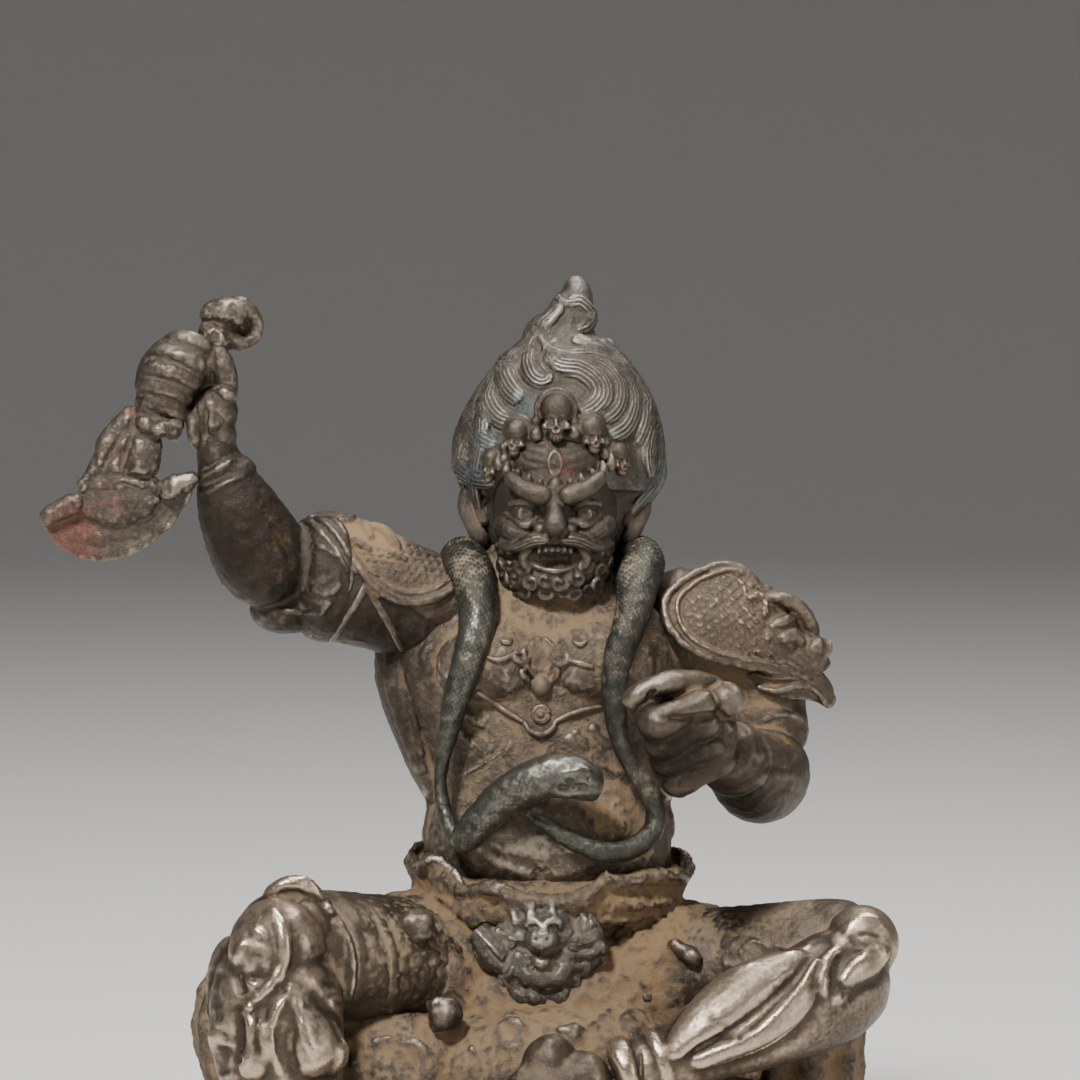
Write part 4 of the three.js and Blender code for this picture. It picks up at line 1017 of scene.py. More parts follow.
# %% Raised arm
RIGHT_FINGERS = """
    166 346 -13.6 1.1, 176 341 -15.8 1.6, 190 342 -16.6 1.7, 203 350 -16.2 1.6, 208 360 -14.8 1.2
    150 360 -13.6 1.3, 163 353 -16.4 1.7, 180 355 -17.6 1.7, 196 363 -17.2 1.7, 206 372 -15.4 1.3
    143 375 -13.6 1.3, 156 369 -16.6 1.7, 172 371 -17.8 1.7, 188 379 -17.2 1.6, 197 385 -15.4 1.2
    139 390 -13.6 1.2, 151 385 -16.2 1.6, 166 388 -17.2 1.6, 180 395 -16.6 1.5, 188 400 -15 1.1
    138 404 -13.6 1.1, 150 401 -15.8 1.4, 164 405 -16.4 1.4, 176 411 -15.8 1.4, 183 419 -14.4 1.1
    """


def right_arm_forms():
    forms = [
        roll(RIGHT_UPPER_ARM, 40, 40),
        roll("-38 -7.6 103.2 7.4 7, -42.4 -9.4 109.6 7.2 7.2, -46 -11 117 5.8 5.8,"
             "-48.4 -12 124.2 3.2 3.8, -48.8 -12.4 128.4 3 3.6", 40, 50, FRONT),
        ball([-39, -5.8, 101], (5.4, 5.4, 3.6), sides=28),
        roll("-46.6 -11.3 119.8 4.9 5, -48.1 -11.9 123.4 3.8 4.2", 32, 24, FRONT),
        roll("-30 -4.4 105.4 8.2 9.2, -34 -6 105.6 8.8 9.4, -38.2 -7.6 105.4 7.6 8.2", 40, 30),
        roll(pinned("212 445 -12 3 3, 206 412 -11.4 3.2 2.8, 196 385 -10.8 3.4 2.4,"
                    "182 362 -10.8 3.2 2.2, 170 350 -11.4 2 1.8"), 28, 30, FRONT),
        ball(pin(215, 412, -14), (3.4, 3.0, 3.9), sides=28),
        ball(pin(196, 426, -14.4), (1.4, 1.8, 3.4), sides=24),
        ball(pin(222, 436, -13.4), (2.2, 2.6, 3.4), sides=24),
        roll(pinned("226 404 -15 1.9, 227 386 -15.4 1.7, 224 368 -15.6 1.75, 219 355 -15.8 1.45,"
                    "213 346 -15.6 1"), 20, 34, (1, 0, 0)),
        roll(pinned("193 346 -13.4 2.3, 181 359 -13.4 4.2 3.9, 168 376 -13.4 4.6 4.1,"
                    "160 394 -13.4 3.9 3.7, 155 412 -13.6 3.1 3.2"), 36, 40, FRONT),
    ]
    return forms + [roll(pinned(finger), 24, 50, FRONT) for finger in rows_of(RIGHT_FINGERS)]


raised_arm = melt("raised_arm", right_arm_forms(), 0.28, smooth=5)
carve(raised_arm, """
    262 500, 286 540, 296 590: 7 -0.35
    298 592, 315 600, 332 602: 6 0.4 -0.3
    206 510, 216 548, 238 582: 8 0.3
    298 512, 304 540, 303 575: 6 -0.35
    204 404, 206 420, 204 444: 3 -0.5
    188 418, 192 434: 4 0.25
    """, """
    196 479, 214 471, 234 460: 2.6 0.5
    198 487, 216 480, 238 469: 2.2 -0.35
    203 494, 220 486, 242 476: 2.4 0.45
    196 472, 212 464, 230 455: 2 -0.3
    278 610, 296 612, 322 613: 3 0.6
    322 613, 331 600: 3 0.5
    208 394, 220 391, 232 396: 3 0.3
    212 388, 224 386, 236 390: 2.4 -0.35
    214 412, 222 424, 218 438: 2.6 -0.3
    208 418, 214 428: 3 0.25
    205 448, 220 444, 234 448: 3 -0.25
    297 518, 316 528, 334 548, 347 570: 2.4 0.5
    307 513, 327 525, 343 545, 354 564: 2.4 0.5
    302 514, 321 526, 338 547, 350 567: 1.6 -0.4
    318 511, 336 522, 350 540: 2 0.35
    318 545, 330 552, 342 562: 3.4 0.45
    309 582, 316 591, 328 594, 338 586, 340 574: 3 0.35
    320 572, 326 580: 8 -0.5
    160 362, 176 363, 194 372: 1.8 -0.25
    152 378, 170 380, 188 389: 1.8 -0.25
    148 395, 164 397, 180 405: 1.8 -0.25
    172 350, 184 350, 196 355: 1.6 -0.2
    206 356, 209 366, 203 376: 2 -0.3
    """)
crumble(raised_arm, 1.4, 0.14)
crumble(raised_arm, 0.55, 0.08)


# %% [markdown]
# ## Flaying knife
#
# The knife has a broad curved blade between a cutting edge and a hooked back, beasts' heads at both
# ends of the handle, and a ring-shaped hook above the fist. The blade is a thin sheet between two
# Bezier lines.


# %% Sheets of wax
def slab(surface, thickness, across=48, down=24):
    """A sheet of wax over surface(u, v), with u and v from 0 to 1."""
    bm = bmesh.new()
    bmesh.ops.create_grid(bm, x_segments=across, y_segments=down, size=0.5)
    uv = coordinates(bm)[:, :2] + 0.5
    place(bm, np.array([surface(u, v) for u, v in uv]))
    bmesh.ops.recalc_face_normals(bm, faces=bm.faces)
    bmesh.ops.solidify(bm, geom=bm.faces[:], thickness=thickness)
    bmesh.ops.recalc_face_normals(bm, faces=bm.faces)
    return bm


# %% Knife
def bezier(p, t):
    a, b, c, d = p
    return a * (1 - t) ** 3 + 3 * b * t * (1 - t) ** 2 + 3 * c * t * t * (1 - t) + d * t**3


BLADE_BACK = np.array(table("-74 -15 114.2, -66 -15 121.4, -57 -15 120, -51 -15 121.2"))
CUTTING_EDGE = np.array(table("-74 -15 114.2, -70.6 -15 105.6, -56 -15 107, -51 -15 121.2"))


def blade_surface(u, v):
    t = 0.01 + 0.98 * u
    p = (1 - v) * bezier(CUTTING_EDGE, t) + v * bezier(BLADE_BACK, t)
    return p + np.array([0, 0.8 - 0.3 * math.sin(v * math.pi), 0])


def knife_forms():
    return [
        roll(pinned("206 324 -14 1.2, 213 314 -14.2 1.9, 228 310 -14.4 2, 243 309 -14.2 1.7,"
                    "253 315 -13.8 1.1, 258 326 -13.4 0.85, 255 337 -13.6 0.9, 245 343 -14 1,"
                    "235 342 -14.2 1.2, 228 337 -14.2 1.2"), 20, 64, FRONT),
        ball(pin(243, 325, -12.2), (2.3, 1.0, 2.5), sides=24),
        ball(pin(236, 318, -14.2), (1.3, 1.2, 1.2), sides=20),
        ball(pin(216, 336, -14), (2.9, 2.6, 2.6), (0, 30, 0), sides=28),
        roll(pinned("222 332 -13.6 2.2, 200 350 -13.6 1.8, 165 395 -13.6 1.9, 150 416 -13.8 2.3"),
             24, 40, FRONT),
        roll(pinned("163 392 -14 2.8, 156 406 -14 3.1, 153 424 -14.2 3.2 2.6"), 28, 24, FRONT),
        roll(pinned("138 418 -14.6 1.2, 147 424 -15.8 1.5, 160 429 -16.2 1.4, 172 426 -15.6 1.6,"
                    "179 418 -14.4 1.1"), 20, 30, FRONT),
        ball(pin(148, 425, -16.6), (1.1, 1.0, 1.0)),
        ball(pin(163, 431, -16.6), (1.0, 1.0, 0.9)),
        ball(pin(172, 431, -14.6), (1.5, 1.6, 1.5)),
        roll(pinned("149 428 -14 2.4, 144 444 -14.4 2.7 2.2, 141 462 -14.8 2.8 2.3, 138 478 -15 2.7 2.2"),
             28, 30, FRONT),
        roll(pinned("136 408 -13.6 1.4, 124 426 -13.8 1.9, 112 444 -14.2 2.2, 104 460 -14.4 1.9,"
                    "94 474 -14.8 1.3, 78 488 -15 0.9"), 20, 36, FRONT),
        ball(pin(126, 440, -14.2), (2.2, 1.7, 2.6), (0, 25, 0), sides=24),
        ball(pin(116, 466, -14.6), (3.0, 1.6, 2.8), (0, 25, 0), sides=24),
        roll(pinned("80 491 -14.8 0.9, 104 484 -15 1.3 1.1, 130 483 -15.2 1.4 1.2, 160 486 -15 1.2 1.1"),
             20, 30, FRONT),
        slab(blade_surface, 2.7),
        roll(pinned("158 492 -15 1.6 1.4, 178 485 -15 1.6 1.4, 191 479 -15 1.2 1.1, 197 475 -15 0.8"),
             20, 30, FRONT),
        roll(pinned("86 500 -15 1.7, 66 507 -15 1.6, 51 515 -15 1.4, 43 524 -15 0.9"), 16, 30, FRONT),
        roll(pinned("80 503 -14.8 1.8 1.1, 104 504 -14.8 2.9 1.2, 130 502 -14.8 3 1.3,"
                    "158 496 -14.8 2.2 1.2"), 20, 40, FRONT),
    ]


def hammered(skin, depth):
    """Shallow dents all over a skin."""
    x, _, z = points_of(skin).T
    push(skin, depth * (np.sin(1.3 * x + 0.7 * z) * np.sin(0.9 * z - 1.1 * x + 2)))


knife = melt("knife", knife_forms(), 0.22, smooth=3)
hammered(knife, 0.12)
carve(knife, """
    62 545, 100 549, 140 540, 170 512, 190 488: 6 -0.35
    130 425, 112 452, 98 476: 4 -0.3
    152 502, 172 494, 186 484: 5 0.4
    70 525, 90 535, 106 530: 7 0.25
    """, """
    118 476, 136 478, 156 478: 1.8 -0.4
    112 486, 124 484, 144 490, 152 488: 1.8 -0.4
    133 434, 125 452, 119 474: 2.4 -0.6
    124 432, 112 450, 102 468: 2.4 -0.3
    102 450, 99 462, 108 464: 3 0.3
    140 436, 152 440, 160 440: 2.4 -0.35
    122 478, 134 470, 150 474: 2 0.3
    92 482, 82 490, 74 500: 2.2 0.3
    200 324, 214 321, 228 330: 2 -0.4
    206 336, 214 330, 222 336, 218 344, 208 342: 2 0.3
    222 346, 229 342, 232 352: 2 0.25
    214 300, 230 302, 244 302: 2.4 0.2
    104 516, 112 520, 118 518: 5 0.2
    122 528, 134 524: 4 0.2
    126 505, 140 512: 5 -0.15
    58 512, 70 508: 3 -0.3
    """)
crumble(knife, 1.1, 0.2)
crumble(knife, 0.45, 0.09)


# %% [markdown]
# ## Left arm and fist
#
# The left arm hangs down to a sharp elbow, and its forearm comes forward to a fist at the breast.


# %% Left arm
def left_arm_forms():
    bar, back_of_hand = (-0.28, -0.42, 0.86), (0.93, -0.2, 0.3)
    joints = table("-15 5.4, -125 5.4, -195 5, -262 3.4")
    return [
        roll("13 2 99.4 9.4 9, 22.5 0.8 98 8.4 9, 29.6 -1 92 8 8.2, 32.6 -3 84 6.3 7.2, 33.4 -4 78 5.8",
             40, 50, FRONT),
        roll("34 -1.6 77 5.4 6.2, 32.8 -8.5 76.8 6 6.9, 30.4 -15 77.4 6.4 6.8, 27.4 -22 80.4 5.2,"
             "24.6 -27.6 83.6 4.6 5", 40, 50),
        ball([34.2, -1.4, 76.8], (4.9, 5.2, 4.9), sides=28),
        roll("27.8 -21.4 80 5.7, 26.4 -24 81.4 5.3", 32, 24),
        ball([22.4, -30.8, 86], (4.6, 4.4, 6.6), (-16, -14, -14), 32, 24),
        ball([17.4, -33, 91.4], (4.2, 3, 2), (0, 10, 0), 24),
        *fist([19.8, -32.4, 86], bar, back_of_hand, joints, 3.5, FINGER * 1.16),
        roll("25 -29.6 90.4 2.8 2.2, 21.4 -33 92.8 2.4 1.9, 16.8 -35.4 93.2 2.1 1.7, 13 -36 91.8 1.9 1.6,"
             "11.2 -35 89.8 1.5", 20, 40),
        ball([25.2, -33.4, 90.6], (2.8, 2.6, 2.6)),
    ]


left_arm = melt("left_arm", left_arm_forms(), 0.3, smooth=3)
carve(left_arm, """
    648 692, 656 697: 6 -0.9
    664 716, 690 718, 722 716: 4 -0.8
    758 735, 764 722, 784 715, 804 722, 812 742: 5 0.35 0.4
    748 705, 772 702, 800 708: 7 -0.4
    752 765, 770 750, 794 752: 6 0.35
    755 790, 776 776, 800 778: 6 0.3
    """, """
    700 690, 722 684, 738 694: 3 -0.3
    724 722, 732 732: 4 0.5
    660 740, 666 750: 4 0.4
    790 762, 800 750, 808 755: 3 0.25
    760 776, 775 765, 790 768: 3 -0.25
    770 798, 786 790, 800 795: 3 -0.2
    """)
crumble(left_arm, 1.6, 0.12)
crumble(left_arm, 0.6, 0.06)


# %% [markdown]
# ## Shoulder plates
#
# Each shoulder is covered by a bowed plate of small overlapping scales with a double rim and a
# beast's head biting over its outer end. The plates are thin discs bent over the shoulders. The
# scales are pressed in like roof tiles: every tile rises towards its free lower edge.


# %% Tiles
TILE_LIFT = 0.26


def tiles(u, v):
    """Height of overlapping tiles, u tiles across and v rows up, with free edges below."""
    row = np.floor(v)
    aside = (u + 0.5 * (row % 2)) % 1.0 - 0.5
    hangs = v - row > 0.5 + 2 * aside**2
    under = (u + 0.5 * ((row + 1) % 2)) % 1.0 - 0.5
    over = np.where(hangs, v - row - 0.5, v - row + 0.5)
    middle = np.where(hangs, aside, under)
    return 1 - 0.8 * over + 0.35 * (0.5 - np.abs(middle))


# %% Left plate
LEFT_PLATE_EDGE = """
    705 567, 725 561, 743 567, 757 586, 776 595, 797 611, 813 639, 827 664, 813 677
    790 673, 760 668, 730 663, 705 655, 690 646, 677 632, 669 612, 671 592, 685 577
    """
plate_out = unit(np.array([0.36, -0.88, 0.3]))
plate_across = unit(np.cross(UP, plate_out))
plate_lift = np.cross(plate_out, plate_across)
PLATE_MIDDLE = np.array([30, -9.4, 99.4])


def on_plate(px, py):
    """Where a pixel falls on the flat plane of the left plate: millimetres across and up."""
    way = seen(px, py)
    hit = LENS + way * (((PLATE_MIDDLE - LENS) @ plate_out) / (way @ plate_out)) - PLATE_MIDDLE
    return hit @ plate_across, hit @ plate_lift


edge = np.array([on_plate(*p) for p in table(LEFT_PLATE_EDGE)])
edge_turn, edge_reach = np.arctan2(edge[:, 1], edge[:, 0]), np.hypot(edge[:, 0], edge[:, 1])
order = np.argsort(edge_turn)
edge_turn, edge_reach = edge_turn[order], edge_reach[order]


def left_plate_at(turn, r, height):
    """A point of the left plate: r is 1 on its edge."""
    reach = r * np.interp(turn, edge_turn, edge_reach, period=2 * math.pi)
    a, b = reach * np.cos(turn), reach * np.sin(turn)
    bow = height + 1.2 - 0.022 * (a * a + b * b)
    flat = PLATE_MIDDLE + np.multiply.outer(a, plate_across) + np.multiply.outer(b, plate_lift)
    return flat + np.multiply.outer(bow, plate_out)


def left_plate_forms():
    bm = sphere(120, 40)
    co = coordinates(bm)
    turn, r = np.arctan2(co[:, 1], co[:, 0]), np.hypot(co[:, 0], co[:, 1])
    place(bm, left_plate_at(turn, r, co[:, 2] * 1.4 - 0.8))
    forms = [bm]
    turns = np.linspace(-math.pi, math.pi, 33)[:-1]
    for r, size, up in ((0.975, 0.62, 0.1), (0.86, 0.36, 0.45)):
        forms.append(hoop([left_plate_at(t, r, up) for t in turns], size, up=tuple(plate_out), rings=160))
    tree = carry(forms, 0.5)
    forms += [
        *laid(tree, """
            733 572 0.3, 741 583 0.42, 746 596 0.3:
            739 569 0.3, 748 582 0.42, 753 592 0.3:
            734 612 0.3, 743 624 0.42, 758 634 0.3:
            742 603 0.3, 751 616 0.42, 762 628 0.35:
            746 600 0.4, 757 597 0.6, 764 604 0.6, 763 617 0.45: 1 0.5
            765 598 0.5, 781 599 1, 797 610 1.2, 808 628 1.1, 812 642 0.8: 1.1 0.5
            768 628 0.5, 781 622 0.9, 794 617 0.6: 1.1 0.6
            806 646 1.1, 818 650 1.5, 826 660 1.1, 829 672 0.5: 1.2 0.7
            802 661 0.5, 812 664 0.8, 820 670 0.4: 1.1 0.5
            776 640 0.9, 790 636 1.2, 800 646 1: 1 0.4
        """),
        *laid(tree, """
            748 653 0.55, 749 653 0.55: 1.1 0.6
            757 652 0.55, 758 652 0.55: 1.1 0.6
            770 654 0.55, 771 654 0.55: 1.1 0.6
            764 640 0.4, 772 634 0.5, 776 645 0.35: 1 0.3
            766 637 0.4, 775 632 0.5, 780 646 0.35: 1 0.3
            768 634 0.4, 778 630 0.5, 784 647 0.35: 1 0.3
        """),
        ball([36.6, -4.6, 94], (5, 4.5, 4)),
        roll("29 -8.6 91.6 1.6 0.8, 34.4 -8.4 91.4 3.4 0.9, 39.6 -6.4 89.8 2.6 0.9, 42.6 -5.4 86.6 0.9 0.5",
             24, 40, (0.2, -0.9, 0.4)),
    ]
    return forms + laid(carry(forms, 0.5), """
        752 674 0.35, 770 677 0.4, 793 678 0.4, 815 690 0.4, 830 706 0.3: 1 0.4
        757 686 0.4, 775 691 0.55, 795 687 0.5, 813 690 0.4, 831 711 0.35: 1 0.5
        """)


def left_tiles(skin):
    """Heights of the tiles inside the inner rim, up to the beast's head."""
    from_middle = points_of(skin) - PLATE_MIDDLE
    across, lift = from_middle @ plate_across, from_middle @ plate_lift
    rim = np.interp(np.arctan2(lift, across), edge_turn, edge_reach, period=2 * math.pi)
    field = np.clip((0.8 - np.hypot(across, lift) / rim) / 0.04, 0, 1)
    field = field * (normals_of(skin) @ plate_out > 0.3) * np.clip((2.6 - across) / 0.8, 0, 1)
    c, s = math.cos(rad(24)), math.sin(rad(24))
    return TILE_LIFT * field * (tiles((across * c - lift * s) / 1.35, (across * s + lift * c) / 1.05) - 0.6)


left_plate = melt("left_shoulder_plate", left_plate_forms(), 0.2, smooth=2)
push(left_plate, left_tiles(left_plate))
crumble(left_plate, 1.1, 0.12)
crumble(left_plate, 0.5, 0.06)


# %% Right plate
def wrapped_plate(stations, share, reach, bearing, spread, slant, proud):
    """A plate bent round a limb. a runs along the limb and b round it, both from -1 to 1."""
    _, section = limb(stations)

    def at(a, b, height):
        centre, side, lift, half = section(share - a * reach)
        angle = rad(bearing + b * spread - a * slant)
        return (centre + side * math.cos(angle) * (half[0] + proud + height)
                + lift * math.sin(angle) * (half[1] + proud + height))

    return at


def band(stations, share, start, end, size, lean=0, proud=0.2):
    """A cord that lies round a limb between two bearings."""
    _, section = limb(stations)
    points = []
    for done in np.linspace(0, 1, 7):
        centre, side, lift, half = section(share + lean * done)
        a = rad(start + (end - start) * done)
        p = centre + side * math.cos(a) * (half[0] + proud) + lift * math.sin(a) * (half[1] + proud)
        points.append([*p, size])
    _, side, lift, _ = section(share)
    return roll(points, 14, 40, up=tuple(np.cross(side, lift)))


right_plate_at = wrapped_plate(RIGHT_UPPER_ARM, 0.46, 0.44, 58, 62, 34, 0.9)


def right_plate_forms():
    bm = sphere(96, 60)
    place(bm, np.array([right_plate_at(x, y, z * 2.4 - 1.6) for x, y, z in coordinates(bm)]))
    forms = [bm, ball([-33, -3, 112.6], (4.2, 4, 3)), ball([-26.8, -2.4, 110.9], (4.4, 4, 2.4), (0, 24, 0))]
    tree = carry([*forms, roll(RIGHT_UPPER_ARM, 40, 40)], 0.6)
    forms += laid(tree, """
        299 515 0.45, 318 522 0.5, 337 540 0.6, 353 562 0.65, 368 581 0.7, 385 595 0.7, 403 601 0.7,
        422 601 0.7, 440 597 0.7, 456 586 0.6, 470 570 0.5:
        312 514 0.35, 334 530 0.4, 351 553 0.45, 367 573 0.45, 386 587 0.45, 405 593 0.45, 428 592 0.45,
        450 580 0.4, 466 562 0.35:
        303 522 0.4, 318 540 0.5, 331 552 0.7, 345 563 0.5, 352 576 0.4:
        """, 1.0, 0.45, 14, 90)
    forms += [
        *laid(tree, """
            328 549 0.7, 338 556 0.8: 1 0.7
            342 562 0.6, 346 565 0.6: 1 0.7
            352 572 0.6, 347 588 0.65, 336 603 0.65, 322 622 0.6, 308 640 0.5: 0.75 0.15
            366 584 0.6, 357 602 0.6, 344 622 0.6, 326 648 0.5: 0.7 0.1
            364 584 0.6, 376 602 0.6, 388 622 0.6, 404 652 0.5: 0.7 0.1
            338 524 0.8, 352 520 1, 364 526 0.8, 372 540 0.5: 0.9 0.3
            366 527 0.6, 380 531 1, 392 541 0.9, 400 552 0.5: 0.9 0.3
            350 540 0.6, 362 545 0.7, 372 552 0.4: 0.9 0.3
            386 552 0.4, 398 556 0.6, 408 560 0.3: 0.9 0.2
        """),
        *[band(RIGHT_UPPER_ARM, s, 170, 244, 0.9, 0.16, 0.1) for s in (0.5, 0.64, 0.78)],
    ]
    return forms


RIGHT_RIM = "320 524, 337 538, 351 553, 367 573, 386 587, 405 593, 428 592, 450 580, 470 562"


def right_tiles(skin):
    """Heights of the tiles between the inner rim and the folds above, laid out on the photograph."""
    px, py = pictured(points_of(skin)).T
    above_rim = np.interp(px, *np.array(table(RIGHT_RIM)).T) - py
    field = np.clip((above_rim - 7) / 3, 0, 1) * np.clip((normals_of(skin) @ BACK - 0.15) / 0.2, 0, 1)
    field = field * np.clip((py - 542) / 5, 0, 1)
    return TILE_LIFT * field * (tiles((px + 0.2 * py) / 8.4, (0.15 * px - py) / 7 + 100) - 0.6)


right_plate = melt("right_shoulder_plate", right_plate_forms(), 0.22, smooth=2)
push(right_plate, right_tiles(right_plate))
crumble(right_plate, 1.1, 0.1)
crumble(right_plate, 0.5, 0.03)


# %% [markdown]
# ## Breast ornament
#
# A winged ornament with a pearl hangs on the breast, with a cord on each side that meets in a ring.
# All of it is thin wax laid on the chest, so its lines are traced from the photograph and rolled
# out on the finished torso. It is a piece of its own, because its lines need smaller voxels.


# %% Ornament
def ornament_forms():
    tree = tree_of(torso)
    forms = laid(tree, """
        486 657 0.3, 500 660 0.45, 512 655 0.4, 520 652 0.35:
        516 650 0.35, 514 658 0.5, 522 662 0.5, 530 658 0.3:
        594 667 0.3, 582 664 0.45, 570 660 0.4, 561 655 0.35:
        566 652 0.35, 568 660 0.5, 560 664 0.5, 552 660 0.3:
        524 664 0.5, 528 668 0.45, 534 676 0.5:
        557 664 0.5, 553 669 0.45, 547 676 0.5:
        500 641 0.4, 508 643 0.45, 512 638 0.3:
        572 640 0.3, 580 645 0.45, 588 641 0.3:
        534 642 0.35, 538 640 0.5, 542 643 0.35:
        545 637 0.25, 549 642 0.4, 554 646 0.25:
        526 646 0.3, 523 652 0.4, 526 660 0.3:
        530 669 0.3, 541 670 0.4, 552 669 0.3:
        521 668 0.35, 522 675 0.55, 529 681 0.45:
        559 668 0.35, 557 676 0.55, 549 682 0.45:
        476 690 0.35, 492 701 0.45, 510 713 0.45, 524 722 0.35:
        602 706 0.35, 586 709 0.45, 570 714 0.45, 554 722 0.35:
        524 722 0.35, 531 731 0.5, 541 735 0.5, 552 729 0.5, 556 720 0.35:
        """, 1.1, 0.5, 12, 30)
    forms += laid(tree, "526 648 0.9, 541 650 2, 556 648 0.9", 0.22, 0.0, 20, 30)
    # The finish of an old bronze follows its shape: dust stays in the hollows, and hands rub the crests
    # bright. The deep hollows are also darkened in the colour, as painted shade. Averaging every vertex
    # with its neighbours a few times gives a softened skin. Where the real skin lies under the softened one
    # it is a hollow, and where it stands over it, a crest.
    forms += laid(tree, "530 661 1, 541 664 1.9, 552 661 1", 0.3, 0.0, 20, 30)
    ring = [(541 + 8 * math.cos(t), 714 - 8 * math.sin(t), 0.36) for t in np.linspace(0, 2 * math.pi, 13)]
    forms.append(lay(tree, ring, 1.1, 0.5, 12, 60))
    for px, py, size in table("541 686 1.6, 541 714 0.7"):
        at, out = traced(tree, [(px, py), (px + 1, py)], 2)
        forms.append(ball(at[0] + out[0] * 0.25 * size, (size, size, size), sides=28, rings=20))
    return forms


ornament = melt("breast_ornament", ornament_forms(), 0.16, smooth=2)


# %% [markdown]
# ## Skirt
#
# The skirt is gathered under a wide collar of cloth whose free edge curls over. The lap is a thick
# pad of clay-covered folds, with toggles and bosses pressed on, and two falls hang at the sides.


# %% Collar
# bearing in degrees, height of the free edge, and how far it stands out
COLLAR_EDGE = """
    -180 63.4 1, -160 62.8 0.98, -148 64.6 0.98, -138 62.8 0.96, -126 60.6 1, -112 61.8 1.02, -98 60.2 1.03
    -86 59.8 1.03, -74 61 1.02, -66 63.2 0.98, -58 61.8 0.97, -44 63 1, -28 62.6 1
    -12 61.4 1.02, 0 62.4 1.03, 20 63.4 0.98, 60 65 0.97, 100 64.4 0.98, 140 65.2 0.97
    """
COLLAR_FOOT = 55.6


def collar_forms():
    bearings, heights, reaches = np.array(table(COLLAR_EDGE)).T

    def cloth(a, share):
        """A point of the collar, at a bearing and a share of its height."""
        z = np.interp(a, bearings, heights, period=360)
        r = np.interp(a, bearings, reaches, period=360)
        flare = (0.9 + (r - 0.9) * share**1.5) * (1 + 0.015 * math.sin(rad(9 * a)) * share)
        x, y = 20.6 * flare * math.cos(rad(a)), -0.8 + 18.2 * flare * math.sin(rad(a))
        return [x, y, COLLAR_FOOT + (z - COLLAR_FOOT) * share]

    turns = np.linspace(0, 2 * math.pi, 33)
    stuffing = [[17.2 * math.cos(a), -0.8 + 14.6 * math.sin(a), 58.4, 3.5] for a in turns]
    lip = [[*cloth(a, 1.0), 0.5 + 0.15 * math.sin(0.21 * a), 0.75] for a in np.arange(-180, 181, 6.0)]
    wall = slab(lambda u, v: cloth(360 * u - 180, v), 1.3, across=160, down=14)
    return [roll(stuffing, 20, 120, UP), wall, roll(lip, 14, 260, UP)]


# %% Skirt
def skirt_forms():
    forms = [
        ball([0, -4, 42], (25, 17, 13), sides=60, rings=36),
        ball([0, -17, 36], (20, 15, 8.6), sides=48, rings=30),
        roll("-7 0 46 14 12.6, -14 -4 46.6 13.8 12.2, -20.6 -8.8 47.8 13.3 11.5,"
             "-26.6 -15.2 49.6 12.2 10.8", 64, 50),
        roll("7 0 46 14 11.6, 15 -2.6 46.4 13 10.8, 21 -5 46.8 12.3 10.4, 30 -9.2 49.2 10.8 10", 64, 50),
        roll("-33 -19 36 4 6, -27 -20 37 6 7, -20 -21.4 35.4 7.4 8, -13 -22 33 8 8", 40, 40),
        ball([-21.6, -25.4, 36], (3.4, 3, 5), (0, 8, 0), sides=24),
        ball([-27, -23.6, 36], (2.8, 3, 4.6), (0, -8, 0), sides=24),
    ]
    falls = [
        "-42 -20 50 4 6, -46 -21 46 4.6 8, -46.4 -21 39 5 10, -43.4 -18 27 3.6 9",
        "38 -11 47 8 7, 39 -12 39 7.6 8.6, 38 -12 30 8.4 11, 37 -11 20 9.6 12.6",
    ]
    forms += [roll(s, 64, 40, FRONT, swell=lambda a, _: 1 + 0.08 * np.cos(8 * a)) for s in falls]

    def gathered(angle, share):
        depth = 0.07 * np.clip((share - 0.1) / 0.7, 0, 1)
        return 1 + depth * np.cos(15 * angle + 2 * np.sin(3 * angle))

    def squared(angle, _):
        return (np.cos(angle) ** 4 + np.sin(angle) ** 4) ** -0.25

    drape = "0 3 57 18 15, 0 3.4 50 21.6 17.4, 0 4 41 25 19.6, 0 4.6 31 28 21.4, 0 5 23.6 29.4 22"
    forms.append(roll(drape, 180, 50, (0, 1, 0), swell=gathered))
    tree = carry(forms)
    forms += [
        roll("-18.8 -19 56 2.5, -19.3 -23.4 56.4 2.5", 24, 24),
        roll("18 -14.6 52.6 1.25, 22.4 -18 50.2 1.25", 24, 24),
        roll("14.2 -26.4 46.8 1, 14.4 -27.4 46.6 1", 24, 24),
        roll("-16.4 -23.6 43.2 2.2 2.4, -13.6 -27.8 45 2.1 2.3", 48, 24, swell=squared, cap=2),
    ]
    forms += laid(tree, """
        516 1052 1.6, 508 1030 2.4, 500 1024 1.2: 0.4 0.1
        572 1048 1.2, 570 1032 1.8, 566 1026 1: 0.4 0.1
        628 1040 1.6, 634 1020 2.2, 640 1010 1.2: 0.35 0.1
        656 1050 1.2, 660 1036 1.6, 663 1028 0.8: 0.35 0.1
        586 1036 0.3, 591 1027 0.55, 597 1020 0.3: 0.9 0.2
        595 1030 0.3, 600 1021 0.55, 606 1014 0.3: 0.9 0.2
        604 1024 0.3, 609 1015 0.55, 615 1008 0.3: 0.9 0.2
        613 1018 0.3, 618 1009 0.55, 624 1002 0.3: 0.9 0.2
        622 1012 0.3, 627 1003 0.55, 633 996 0.3: 0.9 0.2
        """)
    lumps = rng.uniform((600, 900, 0.25), (700, 962, 0.6), (60, 3))  # crumbs of clay beside the mask
    for px, py, size in lumps:
        at = traced(tree, [(px, py), (px + 1, py)], 2)[0]
        forms.append(ball(at[0], (size, size * 0.8, size * 0.8), sides=10, rings=8))
    return forms + collar_forms()


